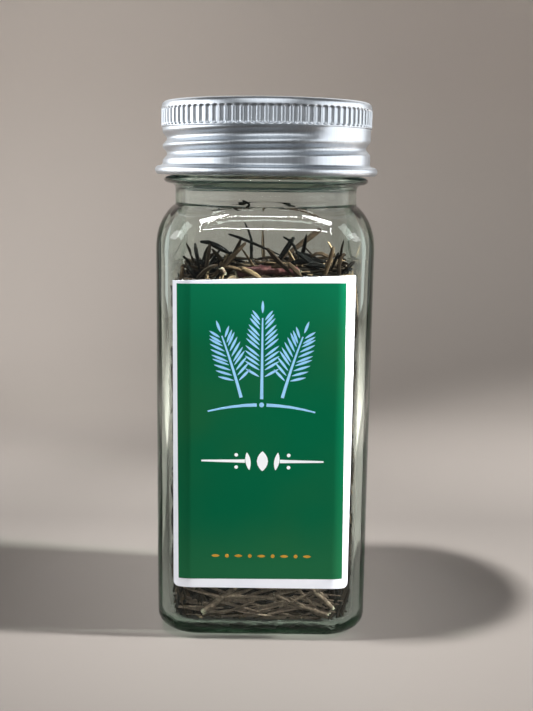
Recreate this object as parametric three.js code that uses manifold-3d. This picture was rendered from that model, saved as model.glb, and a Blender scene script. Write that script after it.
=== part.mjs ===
// A square glass spice jar of dried rosemary, with a threaded aluminium screw cap.
// Millimetres, +Z up. The origin is the centre of the base, on the surface that the jar stands on.
// The label faces -Y.

import * as THREE from "three";
import { mergeVertices } from "three/addons/utils/BufferGeometryUtils.js";
import Module from "manifold-3d";

const wasm = await Module();
wasm.setup();

// ---- Driving dimensions -------------------------------------------------------------------------

const TAU = 2 * Math.PI;

// Jar body: a square plan with round corners.
const BODY_HALF = 22.5;
const BODY_CORNER_R = 7.9;
const WALL = 2.4;
const HEEL_R = 3.8;
const BASE_RING_OUTER = BODY_HALF - HEEL_R;
const BASE_RING_INNER = 16.8;
const PUSH_UP = 1.1;
const FLOOR_EDGE_Z = 2.4;
const FLOOR_CENTRE_Z = 3.0;
const INNER_HEEL_R = 3.2;
const JAR_SIDES = 40;

// Shoulder and neck: the plan goes over from the square to a circle.
const SHOULDER_START_Z = 82;
const SHOULDER_END_Z = 91.2;
const NECK_R = 19.75;
const NECK_TOP_Z = 95.0;
const BEAD_R = 22.2;
const BEAD_BOTTOM_Z = 95.4;
const BEAD_TOP_Z = 97.2;

// Finish: the threaded part of the neck, which the cap covers.
const FINISH_R = 20.6;
const BORE_R = 17.9;
const RIM_Z = 111.3;

// Screw thread, shared by the jar's ridge and the cap's rolled groove. Azimuth is 0 at the front (-Y) and
// grows towards +X. Turns are counted from the groove's upper end, downwards.
const PITCH = 3.175;
const GROOVE_START_AZIMUTH = THREE.MathUtils.degToRad(41);
const GROOVE_START_Z = 106.2;
const GROOVE_TURNS = 1.5;
const RIDGE_ABOVE_GROOVE = PITCH / 2;
const RIDGE_R = 0.95;
const RIDGE_CENTRE_R = 20.7;
const RIDGE_FIRST_TURN = -0.36;
const RIDGE_LAST_TURN = 1.04;

// Cap: one shell of sheet metal.
const CAP_TOP_Z = 112.9;
const CAP_SHEET = 0.35;
const CAP_SKIRT_R = 22.45;
const CAP_CURL_R = 24.1;
const CAP_CURL_Z = 98.55;
const CAP_BOTTOM_Z = 97.5;
const CAP_EDGE_R = 21.4;
const CAP_SIDES = 52;
const GROOVE_DEPTH = 0.95;
const GROOVE_BAND_BOTTOM_Z = 100.1;
const GROOVE_BAND_TOP_Z = 107.3;
const GROOVE_BAND_ROWS = 12;

// Knurled band of the cap.
const KNURLS = 88;
const KNURL_BOTTOM_Z = 107.6;
const KNURL_TOP_Z = 111.3;
const KNURL_CREST_R = 22.65;
const KNURL_ROOT_R = 22.33;
const KNURL_WALL_R = 22.25;

// Liner under the cap's top, resting on the rim.
const LINER_R = 21.0;
const LINER_THICKNESS = 1.0;
const LINER_GAP = 0.1;

// Front label.
const LABEL_GAP = 0.06;
const LABEL_THICKNESS = 0.15;
const LABEL_LEFT_X = -18.5;
const LABEL_RIGHT_X = 18.3;
const LABEL_BOTTOM_Z = 11.8;
const LABEL_TOP_LEFT_Z = 76.6;
const LABEL_TOP_RIGHT_Z = 78.1;
const LABEL_LOWER_CORNER_R = 1.8;
const LABEL_UPPER_CORNER_R = 0.5;

// Heap of dried leaves.
const HEAP_SEED = 8;
const HEAP_CLEARANCE = 0.5;
const CORE_INSET = 2.9;
const CORE_BOTTOM_Z = FLOOR_CENTRE_Z + 1.2;
const CORE_TOP_Z = 72.5;
const CORE_CORNER_R = 4;
const CORE_SIDES = 24;
const LEAF_R = 0.72;
const LEAF_SHORTEST = 10;
const LEAF_LONGEST = 16;
const SIDE_LEAF_ROWS = 14;
const SIDE_LEAVES_PER_ROW = 22;
const TOP_LEAVES = 70;
const FLOOR_LEAVES = 22;
const HIGHEST_TIP_Z = 84.5;
const LEAF_ROOT_DEPTH = 1.3;
const GOLDEN_SHARE = 0.618034;

// Bits of woody stem that lie against the front glass: from, to, and the two end radii.
const STEM_SIDES = 7;
const STEM_BED_GAP = 0.3;
const STEM_Y = -18.6;
const STEMS = [
  { from: [-12.6, 4.6], to: [-2.4, 13.4], fromR: 0.7, toR: 0.5 },
  { from: [2.6, 9.2], to: [14.8, 4.6], fromR: 0.5, toR: 0.7 },
  { from: [8.8, 12.2], to: [15.6, 5.8], fromR: 0.65, toR: 0.5 },
];

// ---- Helpers ------------------------------------------------------------------------------------

// A closed three.js geometry as a manifold-3d solid.
function toSolid(geometry) {
  const plain = geometry.clone();
  plain.deleteAttribute("normal");
  plain.deleteAttribute("uv");
  const merged = mergeVertices(plain, 1e-4);
  return new wasm.Manifold(
    new wasm.Mesh({
      numProp: 3,
      vertProperties: new Float32Array(merged.attributes.position.array),
      triVerts: new Uint32Array(merged.index.array),
    }),
  );
}

// A manifold-3d solid as a three.js geometry.
function toGeometry(solid) {
  const mesh = solid.getMesh();
  const geometry = new THREE.BufferGeometry();
  const positions = new Float32Array(mesh.numVert * 3);
  for (let i = 0; i < mesh.numVert; i++) {
    const start = i * mesh.numProp;
    positions.set(mesh.vertProperties.subarray(start, start + 3), 3 * i);
  }
  geometry.setAttribute("position", new THREE.BufferAttribute(positions, 3));
  geometry.setIndex(new THREE.BufferAttribute(mesh.triVerts, 1));
  geometry.computeVertexNormals();
  return geometry;
}

// The largest of a solid's separate bodies.
function largestBody(solid) {
  const bodies = solid.decompose();
  return bodies.reduce((best, body) => (body.volume() > best.volume() ? body : best));
}

// A seeded random generator (mulberry32) giving numbers from 0 up to 1.
function seededRandom(seed) {
  let state = seed;
  return () => {
    state = (state + 0x6d2b79f5) | 0;
    let t = Math.imul(state ^ (state >>> 15), 1 | state);
    t = (t + Math.imul(t ^ (t >>> 7), 61 | t)) ^ t;
    return ((t ^ (t >>> 14)) >>> 0) / 2 ** 32;
  };
}

// The point of a round-cornered square at an azimuth. `half` is half its width and `corner` its corner
// radius, so corner = half is a circle. `stretch` puts the flats of a faceted outline on the true width.
function squarePoint(half, corner, azimuth, stretch = 1) {
  const straight = half - corner;
  const x = Math.sign(Math.sin(azimuth)) * straight + corner * stretch * Math.sin(azimuth);
  const y = -Math.sign(Math.cos(azimuth)) * straight - corner * stretch * Math.cos(azimuth);
  return [x, y];
}

// A solid turned from rows of { half, corner, z }. The rows run from the axis to the axis, or close on
// themselves, counterclockwise in the (half, z) plane. The columns stand half a step off the axes.
function squareLathe(rows, sides) {
  const points = rows.map((row) => new THREE.Vector2(row.half, row.z));
  const geometry = new THREE.LatheGeometry(points, sides);
  const position = geometry.attributes.position;
  const stretch = 1 / Math.cos(Math.PI / sides);
  for (let column = 0; column <= sides; column++) {
    const azimuth = ((column % sides) + 0.5) * (TAU / sides);
    rows.forEach((row, j) => {
      const [x, y] = squarePoint(row.half, row.corner, azimuth, stretch);
      position.setXYZ(column * rows.length + j, x, y, row.z);
    });
  }
  return geometry;
}

// Rows along a quarter of a circle in the (half, z) plane, from one angle to another.
function arcRows(centreHalf, centreZ, radius, fromAngle, toAngle, steps, cornerOf) {
  const rows = [];
  for (let i = 0; i <= steps; i++) {
    const angle = fromAngle + ((toAngle - fromAngle) * i) / steps;
    const half = centreHalf + radius * Math.cos(angle);
    rows.push({ half, corner: cornerOf(half), z: centreZ + radius * Math.sin(angle) });
  }
  return rows;
}

// A row of a round stretch.
function roundRow(r, z) {
  return { half: r, corner: r, z };
}

// ---- Jar ----------------------------------------------------------------------------------------

const DIAGONAL = Math.SQRT2;
const INNER_HALF = BODY_HALF - WALL;
const INNER_CORNER_R = BODY_CORNER_R - WALL;

// Corner radius that keeps the plan's proportions as it shrinks under the base.
function baseCorner(half) {
  return (BODY_CORNER_R * half) / BODY_HALF;
}

// Rows of a shoulder that goes over from a square of `half` and `corner` to a circle of radius `neckR`.
// The flats and the corners each follow their own rounded curve, the corners a fuller one.
function shoulderRows(half, corner, neckR, fromZ, toZ, steps) {
  const rows = [];
  const reach = (half - corner) * DIAGONAL + corner;
  for (let i = 0; i < steps; i++) {
    const t = Math.sin((i / steps) * (Math.PI / 2));
    const flat = neckR + (half - neckR) * (1 - t ** 2.8) ** 0.85;
    const diagonal = neckR + (reach - neckR) * (1 - t ** 2.2) ** 0.7;
    const rowCorner = (flat * DIAGONAL - diagonal) / (DIAGONAL - 1);
    rows.push({ half: flat, corner: Math.min(rowCorner, flat), z: fromZ + (toZ - fromZ) * t });
  }
  return rows;
}

// The cavity's half width at a height in the straight body or its round heel.
function cavityHalf(z) {
  const rise = Math.min(z - FLOOR_EDGE_Z, INNER_HEEL_R);
  const inset = INNER_HEEL_R - Math.sqrt(INNER_HEEL_R ** 2 - (INNER_HEEL_R - rise) ** 2);
  return INNER_HALF - inset;
}

function jarBodyRows() {
  const outside = [
    roundRow(0, PUSH_UP),
    { half: 9, corner: 7, z: PUSH_UP * 0.86 },
    { half: 14.5, corner: baseCorner(14.5) + 2, z: PUSH_UP * 0.35 },
    { half: BASE_RING_INNER, corner: baseCorner(BASE_RING_INNER), z: 0 },
    ...arcRows(BASE_RING_OUTER, HEEL_R, HEEL_R, -Math.PI / 2, 0, 4, baseCorner),
    ...shoulderRows(BODY_HALF, BODY_CORNER_R, NECK_R, SHOULDER_START_Z, SHOULDER_END_Z, 7),
    roundRow(NECK_R + 0.05, SHOULDER_END_Z + 0.3),
    roundRow(NECK_R, SHOULDER_END_Z + 1),
    roundRow(NECK_R, NECK_TOP_Z),
    roundRow(NECK_R + 0.7, BEAD_BOTTOM_Z + 0.2),
    roundRow(BEAD_R - 0.3, BEAD_BOTTOM_Z + 0.5),
    roundRow(BEAD_R, (BEAD_BOTTOM_Z + BEAD_TOP_Z) / 2),
    roundRow(BEAD_R - 0.3, BEAD_TOP_Z - 0.4),
    roundRow(FINISH_R, BEAD_TOP_Z),
    roundRow(FINISH_R, RIM_Z - 0.7),
    roundRow(FINISH_R - 0.5, RIM_Z),
  ];
  const innerShoulder = shoulderRows(INNER_HALF, INNER_CORNER_R, BORE_R, 80.6, 91.0, 6);
  const inside = [
    roundRow(BORE_R + 0.5, RIM_Z),
    roundRow(BORE_R, RIM_Z - 0.6),
    roundRow(BORE_R, 91.6),
    ...innerShoulder.reverse(),
    ...arcRows(
      INNER_HALF - INNER_HEEL_R,
      FLOOR_EDGE_Z + INNER_HEEL_R,
      INNER_HEEL_R,
      0,
      -Math.PI / 2,
      4,
      (half) => (INNER_CORNER_R * half) / INNER_HALF,
    ),
    { half: 8, corner: 6, z: FLOOR_CENTRE_Z - 0.15 },
    roundRow(0, FLOOR_CENTRE_Z),
  ];
  return [...outside, ...inside];
}

// The thread ridge's centre line. It sinks into the finish wall at both ends.
class RidgeCurve extends THREE.Curve {
  getPoint(t, target = new THREE.Vector3()) {
    const turn = THREE.MathUtils.lerp(RIDGE_LAST_TURN, RIDGE_FIRST_TURN, t);
    const azimuth = GROOVE_START_AZIMUTH - turn * TAU;
    const z = GROOVE_START_Z + RIDGE_ABOVE_GROOVE - turn * PITCH;
    const fromEnd = Math.min(t, 1 - t) / 0.08;
    const r = RIDGE_CENTRE_R - 1.1 * (1 - THREE.MathUtils.smoothstep(fromEnd, 0, 1));
    return target.set(r * Math.sin(azimuth), -r * Math.cos(azimuth), z);
  }
}

function threadRidge() {
  const section = new THREE.Shape().absarc(0, 0, RIDGE_R, 0, TAU);
  return new THREE.ExtrudeGeometry(section, {
    curveSegments: 4,
    steps: 56,
    extrudePath: new RidgeCurve(),
  });
}

function makeJar() {
  const body = toSolid(squareLathe(jarBodyRows(), JAR_SIDES));
  return toGeometry(body.add(toSolid(threadRidge())));
}

// ---- Cap ----------------------------------------------------------------------------------------

// How deep the rolled groove is at a place on the skirt, from 0 to 1: a round trough that follows the
// thread and fades in and out at its two ends.
function grooveAt(azimuth, z) {
  const firstTurn = THREE.MathUtils.euclideanModulo(GROOVE_START_AZIMUTH - azimuth, TAU) / TAU;
  let deepest = 0;
  for (let turn = firstTurn; turn < GROOVE_TURNS; turn += 1) {
    const away = (z - (GROOVE_START_Z - turn * PITCH)) / PITCH;
    if (Math.abs(away) < 0.5) {
      const fadeIn = THREE.MathUtils.smoothstep(turn, 0, 0.09);
      const fadeOut = THREE.MathUtils.smoothstep(GROOVE_TURNS - turn, 0, 0.15);
      const trough = 0.5 * (1 + Math.cos(TAU * away));
      deepest = Math.max(deepest, trough * fadeIn * fadeOut);
    }
  }
  return deepest;
}

// Profile of the shell, counterclockwise from the outer edge of the curl: outside up, then inside down.
function capProfile() {
  const points = [];
  const add = (r, z) => points.push(new THREE.Vector2(r, z));
  const bandZ = (i) =>
    THREE.MathUtils.lerp(GROOVE_BAND_BOTTOM_Z, GROOVE_BAND_TOP_Z, i / (GROOVE_BAND_ROWS - 1));
  const innerR = CAP_SKIRT_R - CAP_SHEET;
  const innerTopZ = CAP_TOP_Z - CAP_SHEET;
  const innerKnurlR = KNURL_WALL_R - CAP_SHEET;

  add(22.5, CAP_BOTTOM_Z);
  add(23.4, CAP_BOTTOM_Z + 0.25);
  add(CAP_CURL_R, CAP_CURL_Z - 0.25);
  add(CAP_CURL_R, CAP_CURL_Z + 0.15);
  add(23.4, CAP_CURL_Z + 0.6);
  add(22.7, CAP_CURL_Z + 0.85);
  for (let i = 0; i < GROOVE_BAND_ROWS; i++) add(CAP_SKIRT_R, bandZ(i));
  add(KNURL_WALL_R, GROOVE_BAND_TOP_Z + 0.2);
  add(KNURL_WALL_R, KNURL_TOP_Z + 0.2);
  add(22.3, CAP_TOP_Z - 0.45);
  add(21.95, CAP_TOP_Z - 0.15);
  add(CAP_EDGE_R, CAP_TOP_Z);
  add(0, CAP_TOP_Z);
  add(0, innerTopZ);
  add(CAP_EDGE_R - 0.3, innerTopZ);
  add(innerKnurlR - 0.15, innerTopZ - 0.35);
  add(innerKnurlR, KNURL_TOP_Z);
  add(innerKnurlR, GROOVE_BAND_TOP_Z + 0.2);
  for (let i = GROOVE_BAND_ROWS - 1; i >= 0; i--) add(innerR, bandZ(i));
  add(22.1, CAP_BOTTOM_Z + 0.3);
  add(22.5, CAP_BOTTOM_Z);
  return points;
}

function capShell() {
  const profile = capProfile();
  const geometry = new THREE.LatheGeometry(profile, CAP_SIDES);
  const position = geometry.attributes.position;
  for (let column = 0; column <= CAP_SIDES; column++) {
    const azimuth = ((column % CAP_SIDES) * TAU) / CAP_SIDES;
    profile.forEach((point, j) => {
      const inBand = point.y >= GROOVE_BAND_BOTTOM_Z && point.y <= GROOVE_BAND_TOP_Z;
      const inwards = inBand ? GROOVE_DEPTH * grooveAt(azimuth, point.y) : 0;
      const r = point.x - inwards;
      position.setXYZ(
        column * profile.length + j,
        r * Math.sin(azimuth),
        -r * Math.cos(azimuth),
        point.y,
      );
    });
  }
  return geometry;
}

// The knurled band: a ring with one crest and one root to each knurl.
function knurlRing() {
  const ringInnerR = KNURL_WALL_R - CAP_SHEET / 2;
  const profile = [
    new THREE.Vector2(ringInnerR, KNURL_BOTTOM_Z),
    new THREE.Vector2(KNURL_CREST_R, KNURL_BOTTOM_Z),
    new THREE.Vector2(KNURL_CREST_R, KNURL_TOP_Z),
    new THREE.Vector2(ringInnerR, KNURL_TOP_Z),
    new THREE.Vector2(ringInnerR, KNURL_BOTTOM_Z),
  ];
  const columns = 2 * KNURLS;
  const geometry = new THREE.LatheGeometry(profile, columns);
  const position = geometry.attributes.position;
  for (let column = 0; column <= columns; column++) {
    const azimuth = ((column % columns) * TAU) / columns;
    const outerR = column % 2 ? KNURL_ROOT_R : KNURL_CREST_R;
    profile.forEach((point, j) => {
      const r = point.x === KNURL_CREST_R ? outerR : point.x;
      position.setXYZ(
        column * profile.length + j,
        r * Math.sin(azimuth),
        -r * Math.cos(azimuth),
        point.y,
      );
    });
  }
  return geometry;
}

function makeCap() {
  return toGeometry(toSolid(capShell()).add(toSolid(knurlRing())));
}

function makeLiner() {
  const geometry = new THREE.CylinderGeometry(LINER_R, LINER_R, LINER_THICKNESS, 48);
  geometry.rotateX(Math.PI / 2);
  return geometry;
}

// ---- Label --------------------------------------------------------------------------------------

// The label's outline in front view, with x to the right and z up.
function labelOutline() {
  const shape = new THREE.Shape();
  const low = LABEL_LOWER_CORNER_R;
  const high = LABEL_UPPER_CORNER_R;
  shape.moveTo(LABEL_LEFT_X + low, LABEL_BOTTOM_Z);
  shape.lineTo(LABEL_RIGHT_X - low, LABEL_BOTTOM_Z);
  shape.absarc(LABEL_RIGHT_X - low, LABEL_BOTTOM_Z + low, low, -Math.PI / 2, 0);
  shape.lineTo(LABEL_RIGHT_X, LABEL_TOP_RIGHT_Z - high);
  shape.absarc(LABEL_RIGHT_X - high, LABEL_TOP_RIGHT_Z - high, high, 0, Math.PI / 2);
  shape.lineTo(LABEL_LEFT_X, LABEL_TOP_LEFT_Z);
  shape.lineTo(LABEL_LEFT_X, LABEL_BOTTOM_Z + low);
  shape.absarc(LABEL_LEFT_X + low, LABEL_BOTTOM_Z + low, low, Math.PI, 1.5 * Math.PI);
  return shape;
}

function makeLabel() {
  const ringRow = (offset, z) => ({
    half: BODY_HALF + offset,
    corner: BODY_CORNER_R + offset,
    z,
  });
  const near = LABEL_GAP;
  const far = LABEL_GAP + LABEL_THICKNESS;
  const ring = squareLathe(
    [ringRow(near, 5), ringRow(far, 5), ringRow(far, 81), ringRow(near, 81), ringRow(near, 5)],
    JAR_SIDES,
  );
  const cutter = new THREE.ExtrudeGeometry(labelOutline(), {
    depth: BODY_HALF,
    bevelEnabled: false,
    curveSegments: 4,
  });
  cutter.rotateX(Math.PI / 2);
  cutter.translate(0, -5, 0);
  return toGeometry(toSolid(ring).intersect(toSolid(cutter)));
}

// ---- Dried rosemary -----------------------------------------------------------------------------

// A slim three-sided spindle from one point to another, a little flattened, as one dried leaf.
function leafBetween(from, to, twist) {
  const along = new THREE.Vector3().subVectors(to, from);
  const length = along.length();
  const geometry = new THREE.LatheGeometry(
    [
      new THREE.Vector2(0, 0),
      new THREE.Vector2(LEAF_R, 0.6 * length),
      new THREE.Vector2(0, length),
    ],
    3,
  );
  geometry.scale(1, 1, 0.75);
  geometry.rotateY(twist);
  const up = new THREE.Vector3(0, 1, 0);
  geometry.applyQuaternion(new THREE.Quaternion().setFromUnitVectors(up, along.normalize()));
  geometry.translate(from.x, from.y, from.z);
  return geometry;
}

// The smaller core of the heap, which the leaves stand out of.
function heapCore() {
  const half = INNER_HALF - CORE_INSET;
  const row = (rowHalf, z) => ({
    half: rowHalf,
    corner: Math.min(CORE_CORNER_R, rowHalf),
    z,
  });
  return squareLathe(
    [
      roundRow(0, CORE_BOTTOM_Z),
      row(half - 2.5, CORE_BOTTOM_Z),
      row(half, CORE_BOTTOM_Z + 2.5),
      row(half, CORE_TOP_Z - 2),
      row(half - 3, CORE_TOP_Z),
      roundRow(0, CORE_TOP_Z + 1.5),
    ],
    CORE_SIDES,
  );
}

// The point at a share (0 to 1) of the way round a round-cornered square, counterclockwise from +X.
function perimeterPoint(half, corner, share) {
  const straight = 2 * (half - corner);
  const quarter = straight + (Math.PI / 2) * corner;
  const walked = THREE.MathUtils.euclideanModulo(share, 1) * 4 * quarter;
  const side = Math.floor(walked / quarter);
  const along = walked - side * quarter;
  const point = new THREE.Vector2(half, Math.min(along, straight) - straight / 2);
  if (along > straight) {
    const angle = (along - straight) / corner;
    point.x = half - corner + corner * Math.cos(angle);
    point.y = half - corner + corner * Math.sin(angle);
  }
  return point.rotateAround(new THREE.Vector2(), (side * Math.PI) / 2);
}

// A point inside the cavity: `inset` from its wall, at a share of the way round and a height.
function cavityPoint(share, z, inset) {
  const half = cavityHalf(z) - inset;
  const point = perimeterPoint(half, Math.max(INNER_CORNER_R - inset, 1), share);
  return new THREE.Vector3(point.x, point.y, z);
}

// Moves a point in until it stands `inset` clear of the cavity's four walls and round corners.
function keepInside(point, inset) {
  const half = INNER_HALF - inset;
  const corner = INNER_CORNER_R - inset;
  point.x = THREE.MathUtils.clamp(point.x, -half, half);
  point.y = THREE.MathUtils.clamp(point.y, -half, half);
  const overX = Math.abs(point.x) - (half - corner);
  const overY = Math.abs(point.y) - (half - corner);
  const over = Math.hypot(overX, overY);
  if (overX > 0 && overY > 0 && over > corner) {
    point.x = Math.sign(point.x) * (half - corner + (overX * corner) / over);
    point.y = Math.sign(point.y) * (half - corner + (overY * corner) / over);
  }
  return point;
}

// Leaves around the four sides: each has its root in the core and its tip close to the glass.
function sideLeaves(random) {
  const leaves = [];
  const lowest = FLOOR_EDGE_Z + 1.6;
  for (let row = 0; row < SIDE_LEAF_ROWS; row++) {
    for (let i = 0; i < SIDE_LEAVES_PER_ROW; i++) {
      const share = (i + 0.5 * (row % 2) + 0.4 * random()) / SIDE_LEAVES_PER_ROW;
      const z = THREE.MathUtils.lerp(lowest, CORE_TOP_Z - 1, (row + random()) / SIDE_LEAF_ROWS);
      const length = THREE.MathUtils.lerp(LEAF_SHORTEST, LEAF_LONGEST, random());
      const slope = THREE.MathUtils.lerp(-1, 1, random());
      const side = random() < 0.5 ? -1 : 1;
      const shift = (side * length * Math.cos(slope)) / (8 * INNER_HALF);
      const tipZ = THREE.MathUtils.clamp(z + length * Math.sin(slope), lowest, CORE_TOP_Z + 4);
      const rootZ = Math.max(z, CORE_BOTTOM_Z + 2);
      const root = cavityPoint(share, rootZ, CORE_INSET + LEAF_ROOT_DEPTH);
      const tip = cavityPoint(share + shift, tipZ, HEAP_CLEARANCE);
      leaves.push(leafBetween(root, tip, random() * TAU));
    }
  }
  return leaves;
}

// Roots spread evenly over the heap's square plan at one height, by the golden ratio.
function spreadRoot(i, count, half, z) {
  const out = Math.sqrt((i + 0.5) / count);
  const point = perimeterPoint(half * out, CORE_CORNER_R * out, i * GOLDEN_SHARE);
  return new THREE.Vector3(point.x, point.y, z);
}

// Leaves on the top of the heap: some lie flat and some stick up.
function topLeaves(random) {
  const leaves = [];
  const half = INNER_HALF - CORE_INSET - 1;
  for (let i = 0; i < TOP_LEAVES; i++) {
    const root = spreadRoot(i, TOP_LEAVES, half, CORE_TOP_Z - 1.4);
    const heading = random() * TAU;
    const rise = THREE.MathUtils.lerp(0.1, 0.95, random() ** 2);
    const length = THREE.MathUtils.lerp(LEAF_SHORTEST, LEAF_LONGEST, random());
    const tip = new THREE.Vector3(
      root.x + length * Math.cos(rise) * Math.sin(heading),
      root.y + length * Math.cos(rise) * Math.cos(heading),
      Math.min(root.z + 2.5 + length * Math.sin(rise), HIGHEST_TIP_Z),
    );
    keepInside(tip, tip.z > SHOULDER_START_Z - 2 ? 4 * HEAP_CLEARANCE : HEAP_CLEARANCE);
    leaves.push(leafBetween(root, tip, random() * TAU));
  }
  return leaves;
}

// Leaves under the core, lying almost flat over the glass floor.
function floorLeaves(random) {
  const leaves = [];
  for (let i = 0; i < FLOOR_LEAVES; i++) {
    const root = spreadRoot(i, FLOOR_LEAVES, 12, CORE_BOTTOM_Z + 1);
    const heading = random() * TAU;
    const length = THREE.MathUtils.lerp(8, 12, random());
    const tip = new THREE.Vector3(
      root.x + length * Math.sin(heading),
      root.y + length * Math.cos(heading),
      FLOOR_CENTRE_Z + HEAP_CLEARANCE,
    );
    keepInside(tip, INNER_HEEL_R + HEAP_CLEARANCE);
    leaves.push(leafBetween(root, tip, random() * TAU));
  }
  return leaves;
}

// A tapered bit of stem, `extra` thicker all round.
function stemGeometry(stem, extra) {
  const from = new THREE.Vector3(stem.from[0], STEM_Y, stem.from[1]);
  const to = new THREE.Vector3(stem.to[0], STEM_Y, stem.to[1]);
  const along = new THREE.Vector3().subVectors(to, from);
  const length = along.length() + 2 * extra;
  const geometry = new THREE.CylinderGeometry(stem.toR + extra, stem.fromR + extra, length, STEM_SIDES);
  const up = new THREE.Vector3(0, 1, 0);
  geometry.applyQuaternion(new THREE.Quaternion().setFromUnitVectors(up, along.normalize()));
  const middle = new THREE.Vector3().addVectors(from, to).multiplyScalar(0.5);
  geometry.translate(middle.x, middle.y, middle.z);
  return geometry;
}

// The whole heap, with a bed cut in it for each bit of stem.
function makeLeaves() {
  const random = seededRandom(HEAP_SEED);
  const leaves = [...sideLeaves(random), ...topLeaves(random), ...floorLeaves(random)];
  const heap = wasm.Manifold.union([toSolid(heapCore()), ...leaves.map(toSolid)]);
  const beds = wasm.Manifold.union(STEMS.map((stem) => toSolid(stemGeometry(stem, STEM_BED_GAP))));
  return toGeometry(largestBody(heap.subtract(beds)));
}

// ---- The object ---------------------------------------------------------------------------------

const glass = new THREE.MeshStandardMaterial({
  color: 0xcfe3d6,
  roughness: 0.04,
  metalness: 0,
  transparent: true,
  opacity: 0.35,
});
const aluminium = new THREE.MeshStandardMaterial({ color: 0xd4d6d8, roughness: 0.3, metalness: 1 });
const linerFoam = new THREE.MeshStandardMaterial({ color: 0xf0efe9, roughness: 0.8 });
const labelPaper = new THREE.MeshStandardMaterial({ color: 0x0f6b45, roughness: 0.45 });
const driedLeaf = new THREE.MeshStandardMaterial({ color: 0x5c5138, roughness: 0.85 });
const driedStem = new THREE.MeshStandardMaterial({ color: 0x7a6248, roughness: 0.85 });

function addMesh(parent, name, geometry, material) {
  const mesh = new THREE.Mesh(geometry, material);
  mesh.name = name;
  parent.add(mesh);
  return mesh;
}

const spiceJar = new THREE.Group();
spiceJar.name = "rosemary_spice_jar";

addMesh(spiceJar, "jar", makeJar(), glass);
addMesh(spiceJar, "label", makeLabel(), labelPaper);
addMesh(spiceJar, "rosemary_leaves", makeLeaves(), driedLeaf);
STEMS.forEach((stem, i) => {
  addMesh(spiceJar, `woody_stem_${i + 1}`, stemGeometry(stem, 0), driedStem);
});

const closure = new THREE.Group();
closure.name = "closure";
addMesh(closure, "cap", makeCap(), aluminium);
const liner = addMesh(closure, "cap_liner", makeLiner(), linerFoam);
liner.position.z = RIM_Z + LINER_GAP + LINER_THICKNESS / 2;
spiceJar.add(closure);

export default spiceJar;
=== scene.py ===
# %% [markdown]
# # A square glass spice jar of dried rosemary
#
# This notebook dresses a imported CAD part for a picture. The part is a small square bottle of soda glass, full of
# dried rosemary leaves, with a paper label on its front and a threaded aluminium cap. The CAD part says where
# everything is and how it moves. Blender adds what the eye wants to see: clear glass with real wall thickness,
# fine knurls, curled edges, thousands of needles, and light.
#
# Every piece of the jar that is made below rides on one of its bodies; the sheet it stands on rides on none.

# %% Load the imported part
import math
import random

import bmesh
import bpy
from mathutils import Matrix, Vector, noise


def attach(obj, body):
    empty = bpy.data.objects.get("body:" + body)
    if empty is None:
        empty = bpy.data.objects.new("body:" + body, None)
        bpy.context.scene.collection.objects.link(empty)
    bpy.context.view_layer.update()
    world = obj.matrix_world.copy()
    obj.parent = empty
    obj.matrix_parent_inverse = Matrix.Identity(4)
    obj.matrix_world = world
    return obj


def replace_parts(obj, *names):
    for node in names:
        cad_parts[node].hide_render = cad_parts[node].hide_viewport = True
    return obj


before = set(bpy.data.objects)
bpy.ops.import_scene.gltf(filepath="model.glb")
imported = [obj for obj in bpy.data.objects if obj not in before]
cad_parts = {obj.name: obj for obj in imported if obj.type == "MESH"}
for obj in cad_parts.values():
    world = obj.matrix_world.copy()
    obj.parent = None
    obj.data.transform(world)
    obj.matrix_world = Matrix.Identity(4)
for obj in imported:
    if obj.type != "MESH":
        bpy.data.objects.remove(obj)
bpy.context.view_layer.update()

# %% [markdown]
# ## Camera
#
# The camera looks slightly down on the jar from the front, from about 23 cm away, through a normal lens. It is also
# rolled by less than a degree, because nobody holds a camera quite level. One matrix does all three: first the
# place, then the pitch, and then the roll about the camera's own axis.

# %% Camera
TAU = 2 * math.pi
MM = 0.001
CAMERA_PLACE = (0.00057, -0.2292, 0.0989)
CAMERA_PITCH = math.radians(10.22)
CAMERA_ROLL = math.radians(0.73)
CAMERA_LENS = 52.46


def link(name, data):
    """A new object in the scene."""
    made = bpy.data.objects.new(name, data)
    bpy.context.collection.objects.link(made)
    return made


camera = link("camera", bpy.data.cameras.new("camera"))
camera.matrix_world = (
    Matrix.Translation(CAMERA_PLACE)
    @ Matrix.Rotation(math.pi / 2 - CAMERA_PITCH, 4, "X")
    @ Matrix.Rotation(CAMERA_ROLL, 4, "Z")
)
camera.data.lens = CAMERA_LENS
camera.data.clip_start = 0.01
bpy.context.scene.camera = camera
bpy.context.scene.view_settings.view_transform = "Standard"
print("camera at", tuple(camera.location))

# %% [markdown]
# ## Writing materials as sums
#
# A material is a tree of nodes, and a long tree is hard to read. So one small class stands for a wire between two
# nodes. Adding or multiplying wires in Python adds a Math node, and `node` adds any other kind. A noise that is
# doubled and taken from one is then simply `1 - 2 * grain`.

# %% Wires
def operator_node(operation, swapped=False):
    """The method behind one of Python's operators: it adds a Math node."""

    def method(self, other):
        first, second = (other, self) if swapped else (self, other)
        return self.node("ShaderNodeMath", {"operation": operation}, {0: first, 1: second})

    return method


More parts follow.
